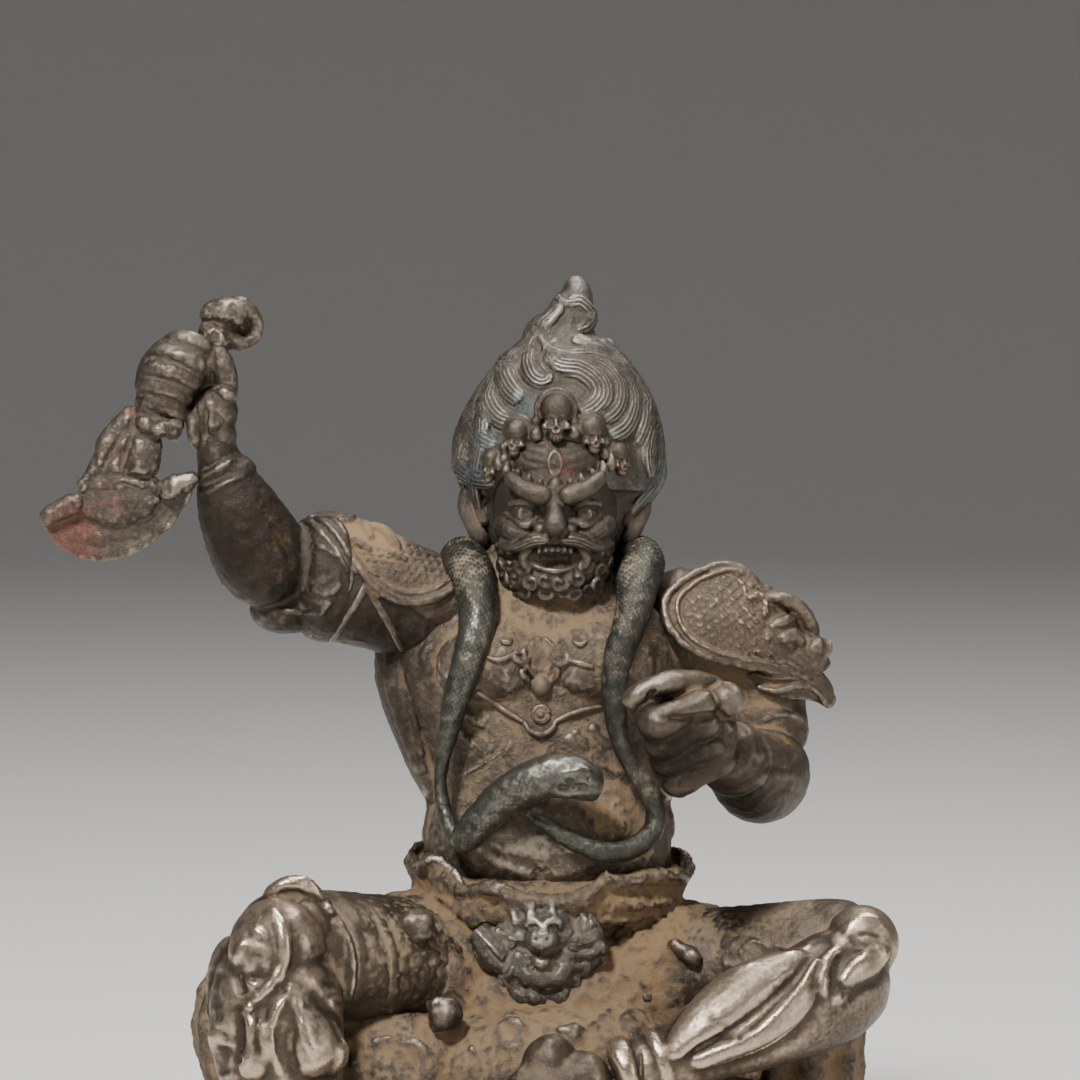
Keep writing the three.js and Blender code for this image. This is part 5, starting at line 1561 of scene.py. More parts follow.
skirt = melt("skirt", skirt_forms(), 0.38, smooth=3)
carve(skirt, """
    404 962, 424 990, 432 1012, 436 1036: 5 0.7 0.5
    418 950, 426 972, 433 992: 5 0.35
    438 945, 448 966, 452 988: 5 0.35
    428 950, 436 972, 441 990: 4 -0.3
    430 916, 450 912, 472 922, 484 938: 7 0.7 0.3
    446 934, 460 946, 474 966: 5 -0.9
    404 902, 430 899, 456 904: 5 0.5
    405 912, 430 910, 456 914: 4 -0.5
    408 870, 424 860, 444 860, 457 869, 463 888: 6 0.9 -0.4
    420 872, 424 884, 420 896: 6 -0.7
    440 872, 446 884, 442 898: 5 0.5
    470 898, 486 902, 500 910: 6 -0.7
    604 894, 640 892, 688 886: 6 -0.9
    606 905, 640 906, 684 900: 5 0.5
    614 874, 634 882, 650 876: 6 0.6
    662 872, 676 878, 690 874: 6 0.6
    470 990, 498 1014, 540 1029, 582 1028, 604 1012: 6 0.45 0.3
    478 1002, 500 1024, 520 1036: 5 -0.4
    365 1044, 392 1038, 420 1044, 438 1060: 6 0.7 -0.5
    412 1046, 416 1064, 414 1080: 4 -0.6
    455 1030, 466 1050, 470 1080: 5 -0.3
    590 1050, 602 1064, 606 1080: 5 -0.4
    610 985, 622 978, 640 984: 7 0.3
    660 908, 684 912, 700 925: 8 0.4
    612 905, 640 915, 662 912: 6 -0.35
    600 940, 614 960, 612 985: 5 -0.4
    668 980, 690 975, 710 962: 6 0.3
    680 1012, 700 990, 715 975: 6 -0.4
    """, """
    429 1008, 440 996, 452 990: 2.2 0.35
    452 990, 462 999, 465 1010: 2.2 0.3
    646 976, 652 982, 647 989, 640 984, 646 976: 2 0.25
    626 1016, 634 1010, 646 1014, 652 1024: 2.2 0.35
    404 1004, 412 1012, 414 1030: 2.2 0.4
    400 984, 413 994: 2 0.4
    392 1048, 404 1050, 412 1062: 3 -0.3
    470 1044, 478 1060: 3 0.25
    624 935, 636 948, 650 945: 3 0.3
    672 920, 678 934, 690 938: 3 -0.5
    """)
crumble(skirt, 2.4, 0.4)
crumble(skirt, 0.9, 0.6, pinned("636 918 -13 7 1"))
crumble(skirt, 1.1, 0.24)
crumble(skirt, 0.5, 0.09)


# %% [markdown]
# ## Lion mask
#
# A lion's mask holds the belt. Its head is a few balls pressed together. Ears, cheeks, tusk-like
# curls and the beard are drawn on it from the photograph, broad lines first and fine ones last.


# %% Mask
def mask_forms():
    forms = [
        ball(pin(542, 948, -17.4), (6.2, 3.6, 8.6), sides=40, rings=28),
        ball(pin(543, 921, -19.2), (3.9, 2.8, 2.4), sides=32, rings=20),
        ball(pin(542, 938, -21), (2.5, 2.6, 2.2), sides=28),
        ball(pin(541, 945, -21.4), (1.6, 2, 1.1), sides=24),
        ball(pin(523, 936, -18.8), (2.1, 2.2, 2.3), sides=24),
        ball(pin(562, 934, -18.8), (2.1, 2.2, 2.3), sides=24),
        ball(pin(543, 966, -19), (4.4, 2.6, 3.2), sides=28),
        ball(pin(541, 961, -20.8), (1.5, 1.8, 1.8), sides=24),
        ball(pin(542, 992, -18), (4.6, 2.6, 2.2), sides=28),
        ball(pin(494, 950, -17.6), (3, 1.8, 3.6), (0, -40, 0), sides=24),
        ball(pin(588, 944, -17.4), (2.6, 1.8, 4.2), sides=24),
    ]
    tree = carry(forms, 0.5)
    lines = """
        529 922 0.6, 531 909 1, 522 903 0.9, 514 910 0.8, 517 926 0.6: 1 0.3
        553 916 0.5, 553 903 0.9, 560 900 0.8, 563 910 0.5: 1 0.3
        526 928 0.5, 530 921 0.7, 537 923 0.6, 543 930 0.6: 0.9 0.3
        543 930 0.6, 549 923 0.7, 556 921 0.7, 561 928 0.5: 0.9 0.3
        518 950 0.8, 520 965 1.2, 530 977 1.3, 543 981 1.4, 556 977 1.3, 566 965 1.2, 573 950 0.8: 0.6 0.1
        453 938 0.6, 468 953 1.2, 483 967 1.5, 497 976 1.5, 512 973 1.3, 519 964 0.8: 0.9 0.4
        468 922 0.7, 481 937 1.5, 492 951 2, 503 960 1.7, 514 964 1: 0.8 0.3
        494 899 0.6, 494 920 1.1, 504 937 1.1, 518 945 0.7: 0.8 0.3
        476 914 0.6, 482 927 0.9, 492 937 0.7: 0.8 0.3
        578 936 0.9, 587 920 1.5, 590 906 1.1, 595 898 0.5: 0.9 0.3
        566 946 0.9, 583 941 1.3, 602 934 0.8: 0.9 0.2
        572 957 0.8, 588 953 1.2, 606 945 0.7: 0.9 0.2
        566 968 0.8, 582 967 1.2, 596 977 0.7: 0.9 0.2
        600 956 0.7, 606 966 1, 603 980 0.6: 0.9 0.2
        517 976 0.8, 516 990 1.2, 526 1004 0.8: 0.9 0.3
        527 987 0.7, 534 998 1.1, 544 1005 0.7: 0.9 0.3
        572 974 0.7, 575 990 1.1, 566 1004 0.7: 0.9 0.3
        562 982 0.6, 564 994 1, 556 1005 0.6: 0.9 0.3
        462 896 0.6, 480 893 1, 500 889 1, 518 896 0.7, 536 900 0.5: 0.8 0.2
        """
    for line, flat, proud in drawn(lines):
        forms.append(lay(tree, [(px, py, 1.15 * w) for px, py, w in line], 0.8 * flat, 0.4 * proud))
    return forms


mask = melt("belt_mask", mask_forms(), 0.2, smooth=6)
carve(mask, """
    504 940, 520 946, 532 952, 543 955, 556 951, 572 944: 3.4 -0.9
    520 909, 522 920: 3 -0.6
    558 905, 559 912: 2.4 -0.4
    528 962, 531 968, 537 973: 3 -0.8
    549 973, 555 968, 558 962: 3 -0.8
    485 945, 494 958, 505 966: 2.6 -0.5
    528 988, 543 992, 556 988: 3 -0.6
    580 948, 594 948: 3 -0.8
    574 962, 586 961: 3 -0.8
    540 903, 541 912: 4 -0.4
    """, """
    528 928, 533 926, 538 929: 1.8 -0.5
    547 929, 553 926, 558 928: 1.8 -0.5
    533 938, 536 940: 1.8 -0.4
    547 938, 549 940: 1.8 -0.4
    536 931, 542 934, 550 931: 1.6 0.2
    470 948, 484 962, 496 971: 1.6 -0.3
    474 928, 486 941, 498 953: 1.6 0.25
    498 905, 499 922, 508 936: 1.4 -0.3
    587 928, 590 912: 1.4 -0.35
    572 944, 590 940: 1.3 -0.25
    520 984, 524 998: 1.3 -0.25
    571 982, 570 998: 1.3 -0.25
    470 898, 490 896, 508 896: 1.5 -0.3
    466 903, 484 904, 500 902: 2 0.3
    """)
crumble(mask, 0.8, 0.12)


# %% [markdown]
# ## Legs
#
# The trousers are soft leather over armour. Each leg is a thick roll bent at the knee, and the
# folds that the light catches are laid on it one by one, from the photograph.


# %% Right leg
def right_leg_forms():
    s = SOLE
    foot = [[-35.6, -21.6, s + 4.4, 4.6, 5.4], [-36.8, -29, s + 4.2, 5.4], [-38.4, -36, s + 2.4, 5.8, 4],
            [-39.4, -42, s + 1.8, 4.4, 2.8]]
    forms = [
        roll("-9 0 46 13 11.6, -21 -9 47.8 12.4 10.6, -31 -20 51.4 10.6 9.6, -37 -27 53.4 8.6 9", 48, 50),
        roll("-37.6 -27.4 55.6 8, -39 -30.4 47 9.6 9, -38.4 -30.4 36 9 8.6, -37 -28.4 25 6.6 6.8,"
             "-36 -26.6 14 5 5.4", 48, 60, FRONT),
        ball([-37.8, -27, 56.2], (7.2, 7.4, 6), sides=32),
        ball([-38.8, -31.2, 54.6], (7, 6.6, 7.2), (0, -14, 0), sides=32),
        ball([-40.6, -33, 53.6], (5, 5.6, 6.2), (0, -14, 0), sides=32),
        roll(pinned("288 984 -35 1.6, 297 1008 -35.4 3.4, 307 1040 -35.2 4.9, 318 1078 -34.6 5.8"),
             36, 40, FRONT),
        roll(pinned("247 1000 -37 1.7, 257 1024 -37.8 2.4, 259 1050 -38 2.7, 250 1080 -37.4 2.8"),
             28, 40, FRONT),
        ball(pin(335, 1056, -36.2), (1.9, 2.2, 2.8), (0, 20, 0), sides=24),
        roll(pinned("306 914 -25.6 4.8, 316 945 -25.8 5.8, 320 980 -25.8 5.6, 318 1012 -25.6 4.6"),
             32, 40, FRONT),
        ball([-44.6, -28, 46], (4.6, 5, 10), (0, -6, 0), sides=28),
        roll("-40.8 -27 59.6 1, -39.4 -28.2 61.8 1.6 1.3, -37.2 -28.4 62.9 1.8 1.4,"
             "-35 -27.6 62.6 1.7 1.3, -33 -26.4 60.4 1.5 1.2, -32.4 -26 59.2 1.3", 20, 40, FRONT),
        ball([-32.2, -27.4, 59.2], (1.4, 1.5, 1.4), sides=20),
        roll(foot, 32, 40),
        roll([[-36.2, -27, s + 11, 6.2, 6.6], [-36.2, -27, s + 8.6, 6.2, 6.6]], 32, 20, FRONT),
        roll([[-36.4, -29, s + 14, 5.8, 6.4], [-36.2, -27, s + 12.6, 5.9, 6.4]], 32, 20, FRONT),
    ]
    return forms + laid(carry(forms), """
        270 906 0.6, 281 926 1, 285 948 1.1, 281 970 1.1, 270 989 0.9, 253 1003 0.6: 0.7 0
        250 928 0.5, 258 931 0.9, 267 940 0.5: 0.7 0
        245 940 0.6, 240 952 0.8, 236 964 0.6: 0.8 0.15
        243 982 0.6, 252 986 0.7, 258 982 0.5: 0.7 0
        """)


right_leg = melt("right_leg", right_leg_forms(), 0.32, smooth=7)
carve(right_leg, """
    240 1006, 258 1012, 276 996, 287 978: 10 -0.6
    256 948, 258 968, 252 984: 8 -0.3
    294 930, 298 955, 292 980: 8 -0.3
    322 950, 332 970, 333 994: 10 -0.6
    292 990, 299 1014, 307 1040, 318 1066: 7 0.45 0.3
    289 990, 276 1012, 271 1038, 278 1066, 284 1082: 5 0.55 -0.3
    291 1022, 290 1048, 298 1080: 6 -0.5
    262 1012, 256 1034, 258 1060: 5 -0.5
    300 984, 322 1004, 342 1034, 352 1056: 6 -0.4
    238 1010, 240 1040, 236 1070: 5 -0.6
    228 925, 211 950, 205 976, 212 1004: 9 0.5 -0.3
    220 965, 214 990, 216 1015: 7 -0.5
    219 1026, 207 1048, 202 1080: 8 0.8 0.4
    226 1042, 221 1062, 222 1080: 9 -0.8
    275 898, 290 893, 306 900: 6 -0.6
    """, """
    231 930, 227 946, 230 962: 6 0.3
    246 996, 240 984, 238 970: 5.5 -0.6
    246 1005, 254 1009: 4 0.4
    326 902, 342 925, 352 950, 354 980, 347 1014: 3 0.3 -0.3
    332 902, 348 925, 358 950, 359 980, 352 1016: 1.8 -0.25
    380 1000, 384 1020, 376 1036: 3 -0.2
    368 990, 372 985.5, 376.5 990, 372 994.5, 368 990: 1.8 0.25
    364 925, 371 950, 368 975: 5 -0.2
    345 1000, 332 1000, 338 1016: 3 0.25
    238 1050, 246 1060, 243 1074: 4 0.3
    301 874, 312 883, 321 897: 3.2 0.3
    384 920, 394 950, 397 985, 392 1012: 3.4 0.3 -0.3
    378 922, 388 950, 391 985, 386 1010: 2 -0.25
    366 902, 380 906, 392 914: 3 0.3
    376 1020, 390 1030, 398 1044: 3 0.3
    """)
crumble(right_leg, 1.6, 0.1)
crumble(right_leg, 1.2, 0.3, "-20 -18 52 11 1, -50 -26 44 8 0.7")
crumble(right_leg, 0.7, 0.14, "-20 -18 52 12 1")
crumble(right_leg, 0.6, 0.05)


# %% Left leg
def left_leg_forms():
    forms = [
        roll("9 0 46 12.6 10.4, 21 -5 46.4 11.2 9.5, 33 -10.8 49 9.8 8.7, 42 -15.6 51 8.4 8.2,"
             "47 -18.6 52 6.4 7", 48, 50),
        roll("45 -17.4 51 6.6 7.4, 41.6 -22.6 47.6 7.4 8.2, 32 -29 44.4 6.6 7.4, 23 -32.4 41.6 5.4 6,"
             "17 -34 38.8 4.7 4.9, 10.4 -35 37 4.3 4.5", 48, 60),
        ball(pin(862, 943, -22), (5.4, 5, 5.6), sides=36, rings=24),
        ball(pin(838, 958, -24), (4.4, 4.4, 4.4), sides=28),
    ]
    tree = carry(forms)
    forms += [
        *laid(tree, """
            806 954 0.9, 780 966 2.6, 750 984 3.9, 718 1007 3.8, 690 1032 2.8, 666 1058 1.5: 0.55 0
            820 960 0.8, 809 985 1.8, 788 1010 2.6, 760 1031 2.6, 726 1048 2.1, 690 1064 1.4: 0.55 0
            842 984 0.8, 856 972 1.8, 872 962 1.8, 888 950 1: 0.6 0
            824 998 0.7, 821 980 1.3, 828 962 1.3, 840 948 0.9: 0.6 0
        """),
        roll("12.8 -34.8 37.8 4.9 5.1, 11 -35 37.4 5.1 5.3, 9.4 -35.2 36.8 4.9 5.1", 36, 30),
        roll("17 -34 39 4.9 5.1, 15.6 -34.3 38.6 5.1 5.3, 14.2 -34.6 38.2 4.9 5.1", 36, 30),
        roll("9 -35.2 36.8 4.2 4.4, 4 -35.6 35.8 4.4 4.6, -2 -35.8 34.2 4.4 4.4, -6 -35.8 32 3 3", 32, 40),
        ball([0.2, -35.2, 38], (4.2, 3.8, 5), (0, 8, 0), sides=28),
    ]
    return forms


left_leg = melt("left_leg", left_leg_forms(), 0.3, smooth=9)
carve(left_leg, """
    808 962, 793 985, 776 1006, 758 1024, 740 1038: 4 -0.45
    740 1038, 715 1043, 688 1056: 5 -0.4
    835 982, 834 964, 846 952: 6 -0.4
    815 994, 816 972, 825 955: 6 -0.5
    812 1018, 786 1040, 754 1058, 704 1076: 7 -0.5
    812 914, 826 932, 824 948: 9 -0.4
    700 918, 716 940, 708 960: 8 -0.4
    """, """
    846 944, 850 926, 862 917, 876 918, 886 930: 4 0.22
    852 946, 866 950, 882 944: 4 0.3
    856 936, 868 934, 880 938: 3 -0.2
    798 968, 782 976, 772 986: 5 0.2
    708 1010, 716 1022, 732 1026: 5 -0.2
    829 1002, 844 998: 5 0.3
    776 946, 790 951, 806 948, 812 939: 2.6 0.3
    790 938, 798 934, 804 940, 798 944: 2.2 0.2
    740 950, 754 941, 772 948: 3.4 0.25
    720 962, 738 967, 756 962: 3.4 0.2
    716 930, 740 934, 764 926: 4 -0.2
    845 1004, 862 990, 880 980: 5 -0.3
    640 1050, 642 1080: 1.6 -0.4
    """)
crumble(left_leg, 1.6, 0.12, "-4 -38 36 9 2, 22 -12 54 14 1.6")
crumble(left_leg, 0.8, 0.16, "22 -12 54 14 1")
crumble(left_leg, 0.6, 0.05)


# %% [markdown]
# ## Rock seat and plinth
#
# The photograph ends above these, so they are plain: seven boulders melted together and cut flat
# where they stand on the plinth, and a low base of rounded oblong outline turned on a lathe.


# %% Rock seat
def seat_forms():
    boulders = np.array(table("""
        2 -1 20 35 25 17, 21 -22 19 26 16 15, -10 -24 16 18 15 14, -25 -1 17 17 21 15, 33 -4 16 17 19 16
        4 13 18 29 16 16, 4 -33 12 15 10 13
        """)).reshape(-1, 2, 3)
    forms = []
    for k, (centre, radii) in enumerate(boulders):
        bm = bmesh.new()
        bmesh.ops.create_icosphere(bm, subdivisions=2, radius=1)
        co = coordinates(bm)
        x, y, z = co.T
        chip = 1 + 0.13 * np.sin(4 * x + 2.1 * k) * np.cos(3.7 * y - 1.3 * k)
        chip = chip + 0.1 * np.sin(6.1 * z + 2.2 * x + k)
        forms.append(place(bm, centre + co * chip[:, None] * radii))
    return forms


def cut_below(skin, height):
    """Takes away what lies below a height, and closes the cut."""
    bm = bmesh.new()
    bm.from_mesh(skin.data)
    everything = bm.verts[:] + bm.edges[:] + bm.faces[:]
    bmesh.ops.bisect_plane(bm, geom=everything, plane_co=(0, 0, height), plane_no=UP, clear_inner=True)
    bmesh.ops.holes_fill(bm, edges=[e for e in bm.edges if e.is_boundary])
    bm.to_mesh(skin.data)
    bm.free()


seat = melt("rock_seat", seat_forms(), 0.8, smooth=2)
cut_below(seat, SOLE)


# %% Plinth
PLINTH = (58, 42, 3)  # half width, half depth, squareness


def plinth_shape():
    half_width, half_depth, squareness = PLINTH
    profile = table("1 0, 1 0.2, 0.955 0.34, 0.95 0.62, 0.985 0.76, 0.98 0.94, 0.965 1")
    bm = bmesh.new()
    ring = [bm.verts.new((r, 0, h * SOLE)) for r, h in profile]
    ends = [bm.verts.new((0, 0, 0)), *ring, bm.verts.new((0, 0, SOLE))]
    edges = [bm.edges.new(pair) for pair in zip(ends, ends[1:])]
    bmesh.ops.spin(bm, geom=edges, cent=(0, 0, 0), axis=UP, angle=2 * math.pi, steps=160, use_merge=True)
    bmesh.ops.remove_doubles(bm, verts=bm.verts, dist=1e-4)
    bmesh.ops.recalc_face_normals(bm, faces=bm.faces)
    co = coordinates(bm)
    reach = np.hypot(co[:, 0], co[:, 1])
    c, s = co[:, 0] / np.maximum(reach, 1e-9), co[:, 1] / np.maximum(reach, 1e-9)
    bulge = (np.abs(c) ** squareness + np.abs(s) ** squareness + 1e-12) ** (-1 / squareness)
    at = np.stack([c * bulge * reach * half_width, s * bulge * reach * half_depth, co[:, 2]], axis=1)
    at[reach < 1e-6, :2] = 0
    return place(bm, at)


plinth = gather("plinth_base", [plinth_shape()])


# %% [markdown]
# ## Old copper
#
# The metal is brown copper. Dust and clay have settled in its hollows and on the chest and lap, and
# hands have rubbed the crests to a dark shine with a little gold in it. The gold specks are partly gilt
# and partly painted glints. Each vertex keeps how deep it lies on a small and on a wide scale, and the
# deep hollows are darkened in the colour as painted shade. A few places keep traces of red and teal,
# spots of gold, and dark spots that are mostly painted shadow. The shader breaks these up with noise
# in object coordinates, so the pattern is fixed to the metal.


# %% Weather a piece
def weather(skin, dusty=0.0, rubbed=0.0, passes=(4, 50), dust_at=(), rub_at=(), **traces):
    """Keeps the numbers that the metals read. Traces are red_at, teal_at, gilt_and_glint_at and dark_at.
    The gold spots are partly gilt and partly painted glints, and the dark spots darken places, mostly as
    painted shadow.
    """
    co, normal = points_of(skin), normals_of(skin)
    fine, wide = hollow(skin, passes[0]), hollow(skin, passes[1])
    fine, wide = fine / max(fine.std(), 0.03), wide / max(wide.std(), 0.12)
    upward = np.clip(normal[:, 2], 0, 1)
    more = spots(co, dust_at) - spots(co, rub_at)
    keep(skin, "dust", 0.32 + 0.1 * fine + 0.17 * wide + 0.12 * upward + dusty + more)
    keep(skin, "rub", 0.25 - 0.09 * fine - 0.22 * wide + rubbed - more)
    # deep: how far a vertex lies in a hollow, less where dust is added; the metals darken it as painted
    # shade.
    keep(skin, "deep", np.clip(0.3 * fine + 0.22 * wide - 0.25 - 0.6 * np.clip(more, 0, 1), 0, 1))
    # The dark trace is mostly painted shadow, and the gold trace is partly gilt and partly painted glints.
    for trace in ("dark", "red", "teal", "gilt_and_glint"):
        keep(skin, trace, spots(co, traces.get(trace + "_at", ())))


# %% Nodes
class Bench:
    """A short way to lay out the nodes of one material."""

    def __init__(self, name):
        self.material = bpy.data.materials.new(name)
        self.material.use_nodes = True
        self.tree = self.material.node_tree
        self.shader = self.tree.nodes["Principled BSDF"]
        self.place = self.tree.nodes.new("ShaderNodeTexCoord").outputs["Object"]

    def put(self, kind, inputs=(), **settings):
        node = self.tree.nodes.new("ShaderNode" + kind)
        for key, value in settings.items():
            setattr(node, key, value)
        for key, value in dict(inputs).items():
            if isinstance(value, bpy.types.NodeSocket):
                self.tree.links.new(value, node.inputs[key])
            else:
                node.inputs[key].default_value = value
        return node

    def noise(self, size, detail=3.0, roughness=0.6):
        """Noise whose lumps are about this many millimetres wide."""
        inputs = {"Vector": self.place, "Scale": 1 / (size * MM), "Detail": detail, "Roughness": roughness}
        return self.put("TexNoise", inputs).outputs["Fac"]

    def stored(self, name):
        return self.put("Attribute", attribute_name=name).outputs["Fac"]

    def math(self, operation, a, b=0.0, c=0.0):
        return self.put("Math", {0: a, 1: b, 2: c}, operation=operation).outputs[0]

    def stir(self, value, *grains):
        """A number with some noise added, each kind centred on 0 and given with its range."""
        for kind, size in grains:
            value = self.math("ADD", value, self.math("MULTIPLY_ADD", kind, size, -size / 2))
        return value

    def ramp(self, value, low, high):
        """0 below low, 1 above high, and smooth between them."""
        inputs = {"Value": value, "From Min": low, "From Max": high}
        return self.put("MapRange", inputs, interpolation_type="SMOOTHSTEP").outputs["Result"]

    def blend(self, share, a, b):
        """One colour into another."""
        node = self.put("Mix", {0: share}, data_type="RGBA")
        for socket, value in ((node.inputs[6], a), (node.inputs[7], b)):
            if isinstance(value, bpy.types.NodeSocket):
                self.tree.links.new(value, socket)
            else:
                socket.default_value = (*value, 1)
        return node.outputs[2]

    def between(self, share, a, b):
        """One number into another."""
        inputs = {"Value": share, "To Min": a, "To Max": b}
        return self.put("MapRange", inputs).outputs["Result"]

    def wire(self, output, socket):
        self.tree.links.new(output, self.shader.inputs[socket])


# %% Aged copper
def old_copper(name, brown=(0.105, 0.075, 0.052), dark=(0.045, 0.034, 0.026), film=(0.128, 0.097, 0.067),
               dust_colour=(0.245, 0.155, 0.076), polish=(0.26, 0.215, 0.17), dust_low=0.3, rub_low=0.34,
               shine=0.36, grain=1.0):
    """Brown metal with polished crests, under a film of dirt and settled dust, with painted shade in its
    deep hollows and at the dark spots, and gold specks that are partly painted glints.
    """
    b = Bench(name)
    broad, middle, small, tiny = b.noise(5, 4), b.noise(1.3, 4), b.noise(0.42, 4, 0.7), b.noise(0.16, 2)
    settled = b.stir(b.stored("dust"), (broad, 0.36), (middle, 0.36), (small, 0.5))
    dust = b.between(b.ramp(settled, dust_low, dust_low + 0.5), 0.22, 1.0)
    rub = b.stir(b.stored("rub"), (broad, 0.4 * grain), (middle, 0.6 * grain), (small, 0.5 * grain))
    rub = b.ramp(rub, rub_low, rub_low + 0.75)
    dust = b.math("MULTIPLY", dust, b.between(rub, 1.0, 0.15))
    metal = b.blend(b.ramp(broad, 0.35, 0.65), dark, brown)
    metal = b.blend(b.math("MULTIPLY", b.ramp(small, 0.45, 0.7), 0.6), metal, brown)
    metal = b.blend(rub, metal, polish)
    # Gold specks, at the marked spots and scattered by noise: partly gilt, and partly painted glints.
    gilt_and_glint = b.math("ADD", b.stored("gilt_and_glint"), b.math("MULTIPLY_ADD", b.noise(0.7, 6, 0.75), 3.0, -1.9))
    gilt_and_glint = b.ramp(b.stir(gilt_and_glint, (tiny, 1.2)), 0.1, 0.6)
    metal = b.blend(gilt_and_glint, metal, (0.42, 0.25, 0.08))
    dirt = b.blend(b.ramp(settled, 0.5, 1.05), film, dust_colour)
    shaded, lit = tuple(0.45 * c for c in dust_colour), tuple(0.7 * c + 0.06 for c in dust_colour)
    dirt = b.blend(b.math("MULTIPLY", b.ramp(tiny, 0.7, 0.35), 0.35), dirt, shaded)
    dirt = b.blend(b.math("MULTIPLY", b.ramp(middle, 0.45, 0.8), 0.4), dirt, lit)
    colour = b.blend(b.math("MULTIPLY", dust, 0.92), metal, dirt)
    paints = {"red": ((0.17, 0.058, 0.042), 0.68), "teal": ((0.075, 0.115, 0.13), 0.55)}
    for tint, (paint, strength) in paints.items():
        share = b.stir(b.stored(tint), (middle, 1.1), (small, 0.8))
        share = b.math("MULTIPLY", b.ramp(share, 0.3, 0.8), strength)
        colour = b.blend(share, colour, paint)
        dust = b.math("MAXIMUM", dust, b.math("MULTIPLY", share, 0.45))
    # Painted shade: the deep hollows darken towards near black, less where dust fills them, and the dark
    # spots darken the same way as painted shadow.
    shade = b.math("MULTIPLY", b.stored("deep"), b.between(dust, 0.85, 0.3))
    painted_shadow = b.math("MULTIPLY", b.stored("dark"), b.between(middle, 0.6, 1.4))
    colour = b.blend(b.math("MAXIMUM", shade, painted_shadow), colour, (0.022, 0.015, 0.01))
    b.wire(colour, "Base Color")
    b.wire(b.between(dust, 0.95, 0.04), "Metallic")
    rough = b.stir(b.between(rub, 0.5, shine), (small, 0.26))
    b.wire(b.math("MAXIMUM", rough, b.between(dust, 0.2, 0.86)), "Roughness")
    crumbs = b.math("ADD", small, b.math("MULTIPLY", tiny, 0.5))
    crumbs = b.math("MULTIPLY", crumbs, b.between(dust, 0.5, 1.8))
    height = b.math("ADD", crumbs, b.math("MULTIPLY", middle, 0.9))
    relief = b.put("Bump", {"Height": height, "Strength": 0.62 * grain, "Distance": 0.25 * MM})
    b.wire(relief.outputs["Normal"], "Normal")
    return b.material


# %% Mixtures
copper = old_copper("aged copper")
pale = old_copper(
    "pale copper", brown=(0.12, 0.087, 0.061), film=(0.15, 0.114, 0.08), dust_colour=(0.265, 0.174, 0.092),
    polish=(0.31, 0.26, 0.205))
# A darker copper for the face, crown, knife and raised arm: partly their own darker tone, and partly
# painted shade that darkens the raised arm.
smoky_and_shaded = old_copper(
    "smoky copper", brown=(0.072, 0.056, 0.042), film=(0.082, 0.066, 0.05), dust_colour=(0.165, 0.12, 0.08))
ashen = old_copper(
    "grey copper", brown=(0.088, 0.076, 0.062), film=(0.09, 0.08, 0.066), dust_colour=(0.21, 0.155, 0.1),
    polish=(0.33, 0.3, 0.26), rub_low=0.28)
bright = old_copper(
    "rubbed copper", brown=(0.095, 0.069, 0.048), film=(0.09, 0.067, 0.045),
    dust_colour=(0.21, 0.148, 0.086), polish=(0.5, 0.39, 0.29), dust_low=0.42, rub_low=0.27, shine=0.27,
    grain=0.5)
greenish = old_copper(
    "snake copper", brown=(0.058, 0.057, 0.046), dark=(0.026, 0.027, 0.022), film=(0.062, 0.057, 0.044),
    dust_colour=(0.26, 0.19, 0.11), polish=(0.17, 0.164, 0.138), rub_low=0.26, shine=0.34, grain=0.7)


# %% [markdown]
# ## Fewer triangles
#
# A remeshed skin has the same small faces everywhere, and the flat places don't need them. The
# Decimate modifier collapses the edges that carry the least shape, and it mixes the numbers kept on
# the two vertices of each edge, so the weathering stays where it was.


# %% Thin out a skin
def thin(skin, share):
    """Keeps about this share of the triangles."""
    fewer = skin.modifiers.new("fewer", "DECIMATE")
    fewer.ratio = share
    fewer.use_collapse_triangulate = True
    apply_modifiers(skin)


# %% Into the row's frame
def cast(skin, material, offset=SPINE):
    """Moves a finished skin into the row's frame, in metres, and gives it its metal."""
    set_points(skin, (points_of(skin) + np.array(offset)) * MM)
    skin.data.materials.append(material)
    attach(skin, "root")
    triangles = sum(len(p.vertices) - 2 for p in skin.data.polygons)
    print(skin.name, triangles, "triangles")
    return triangles


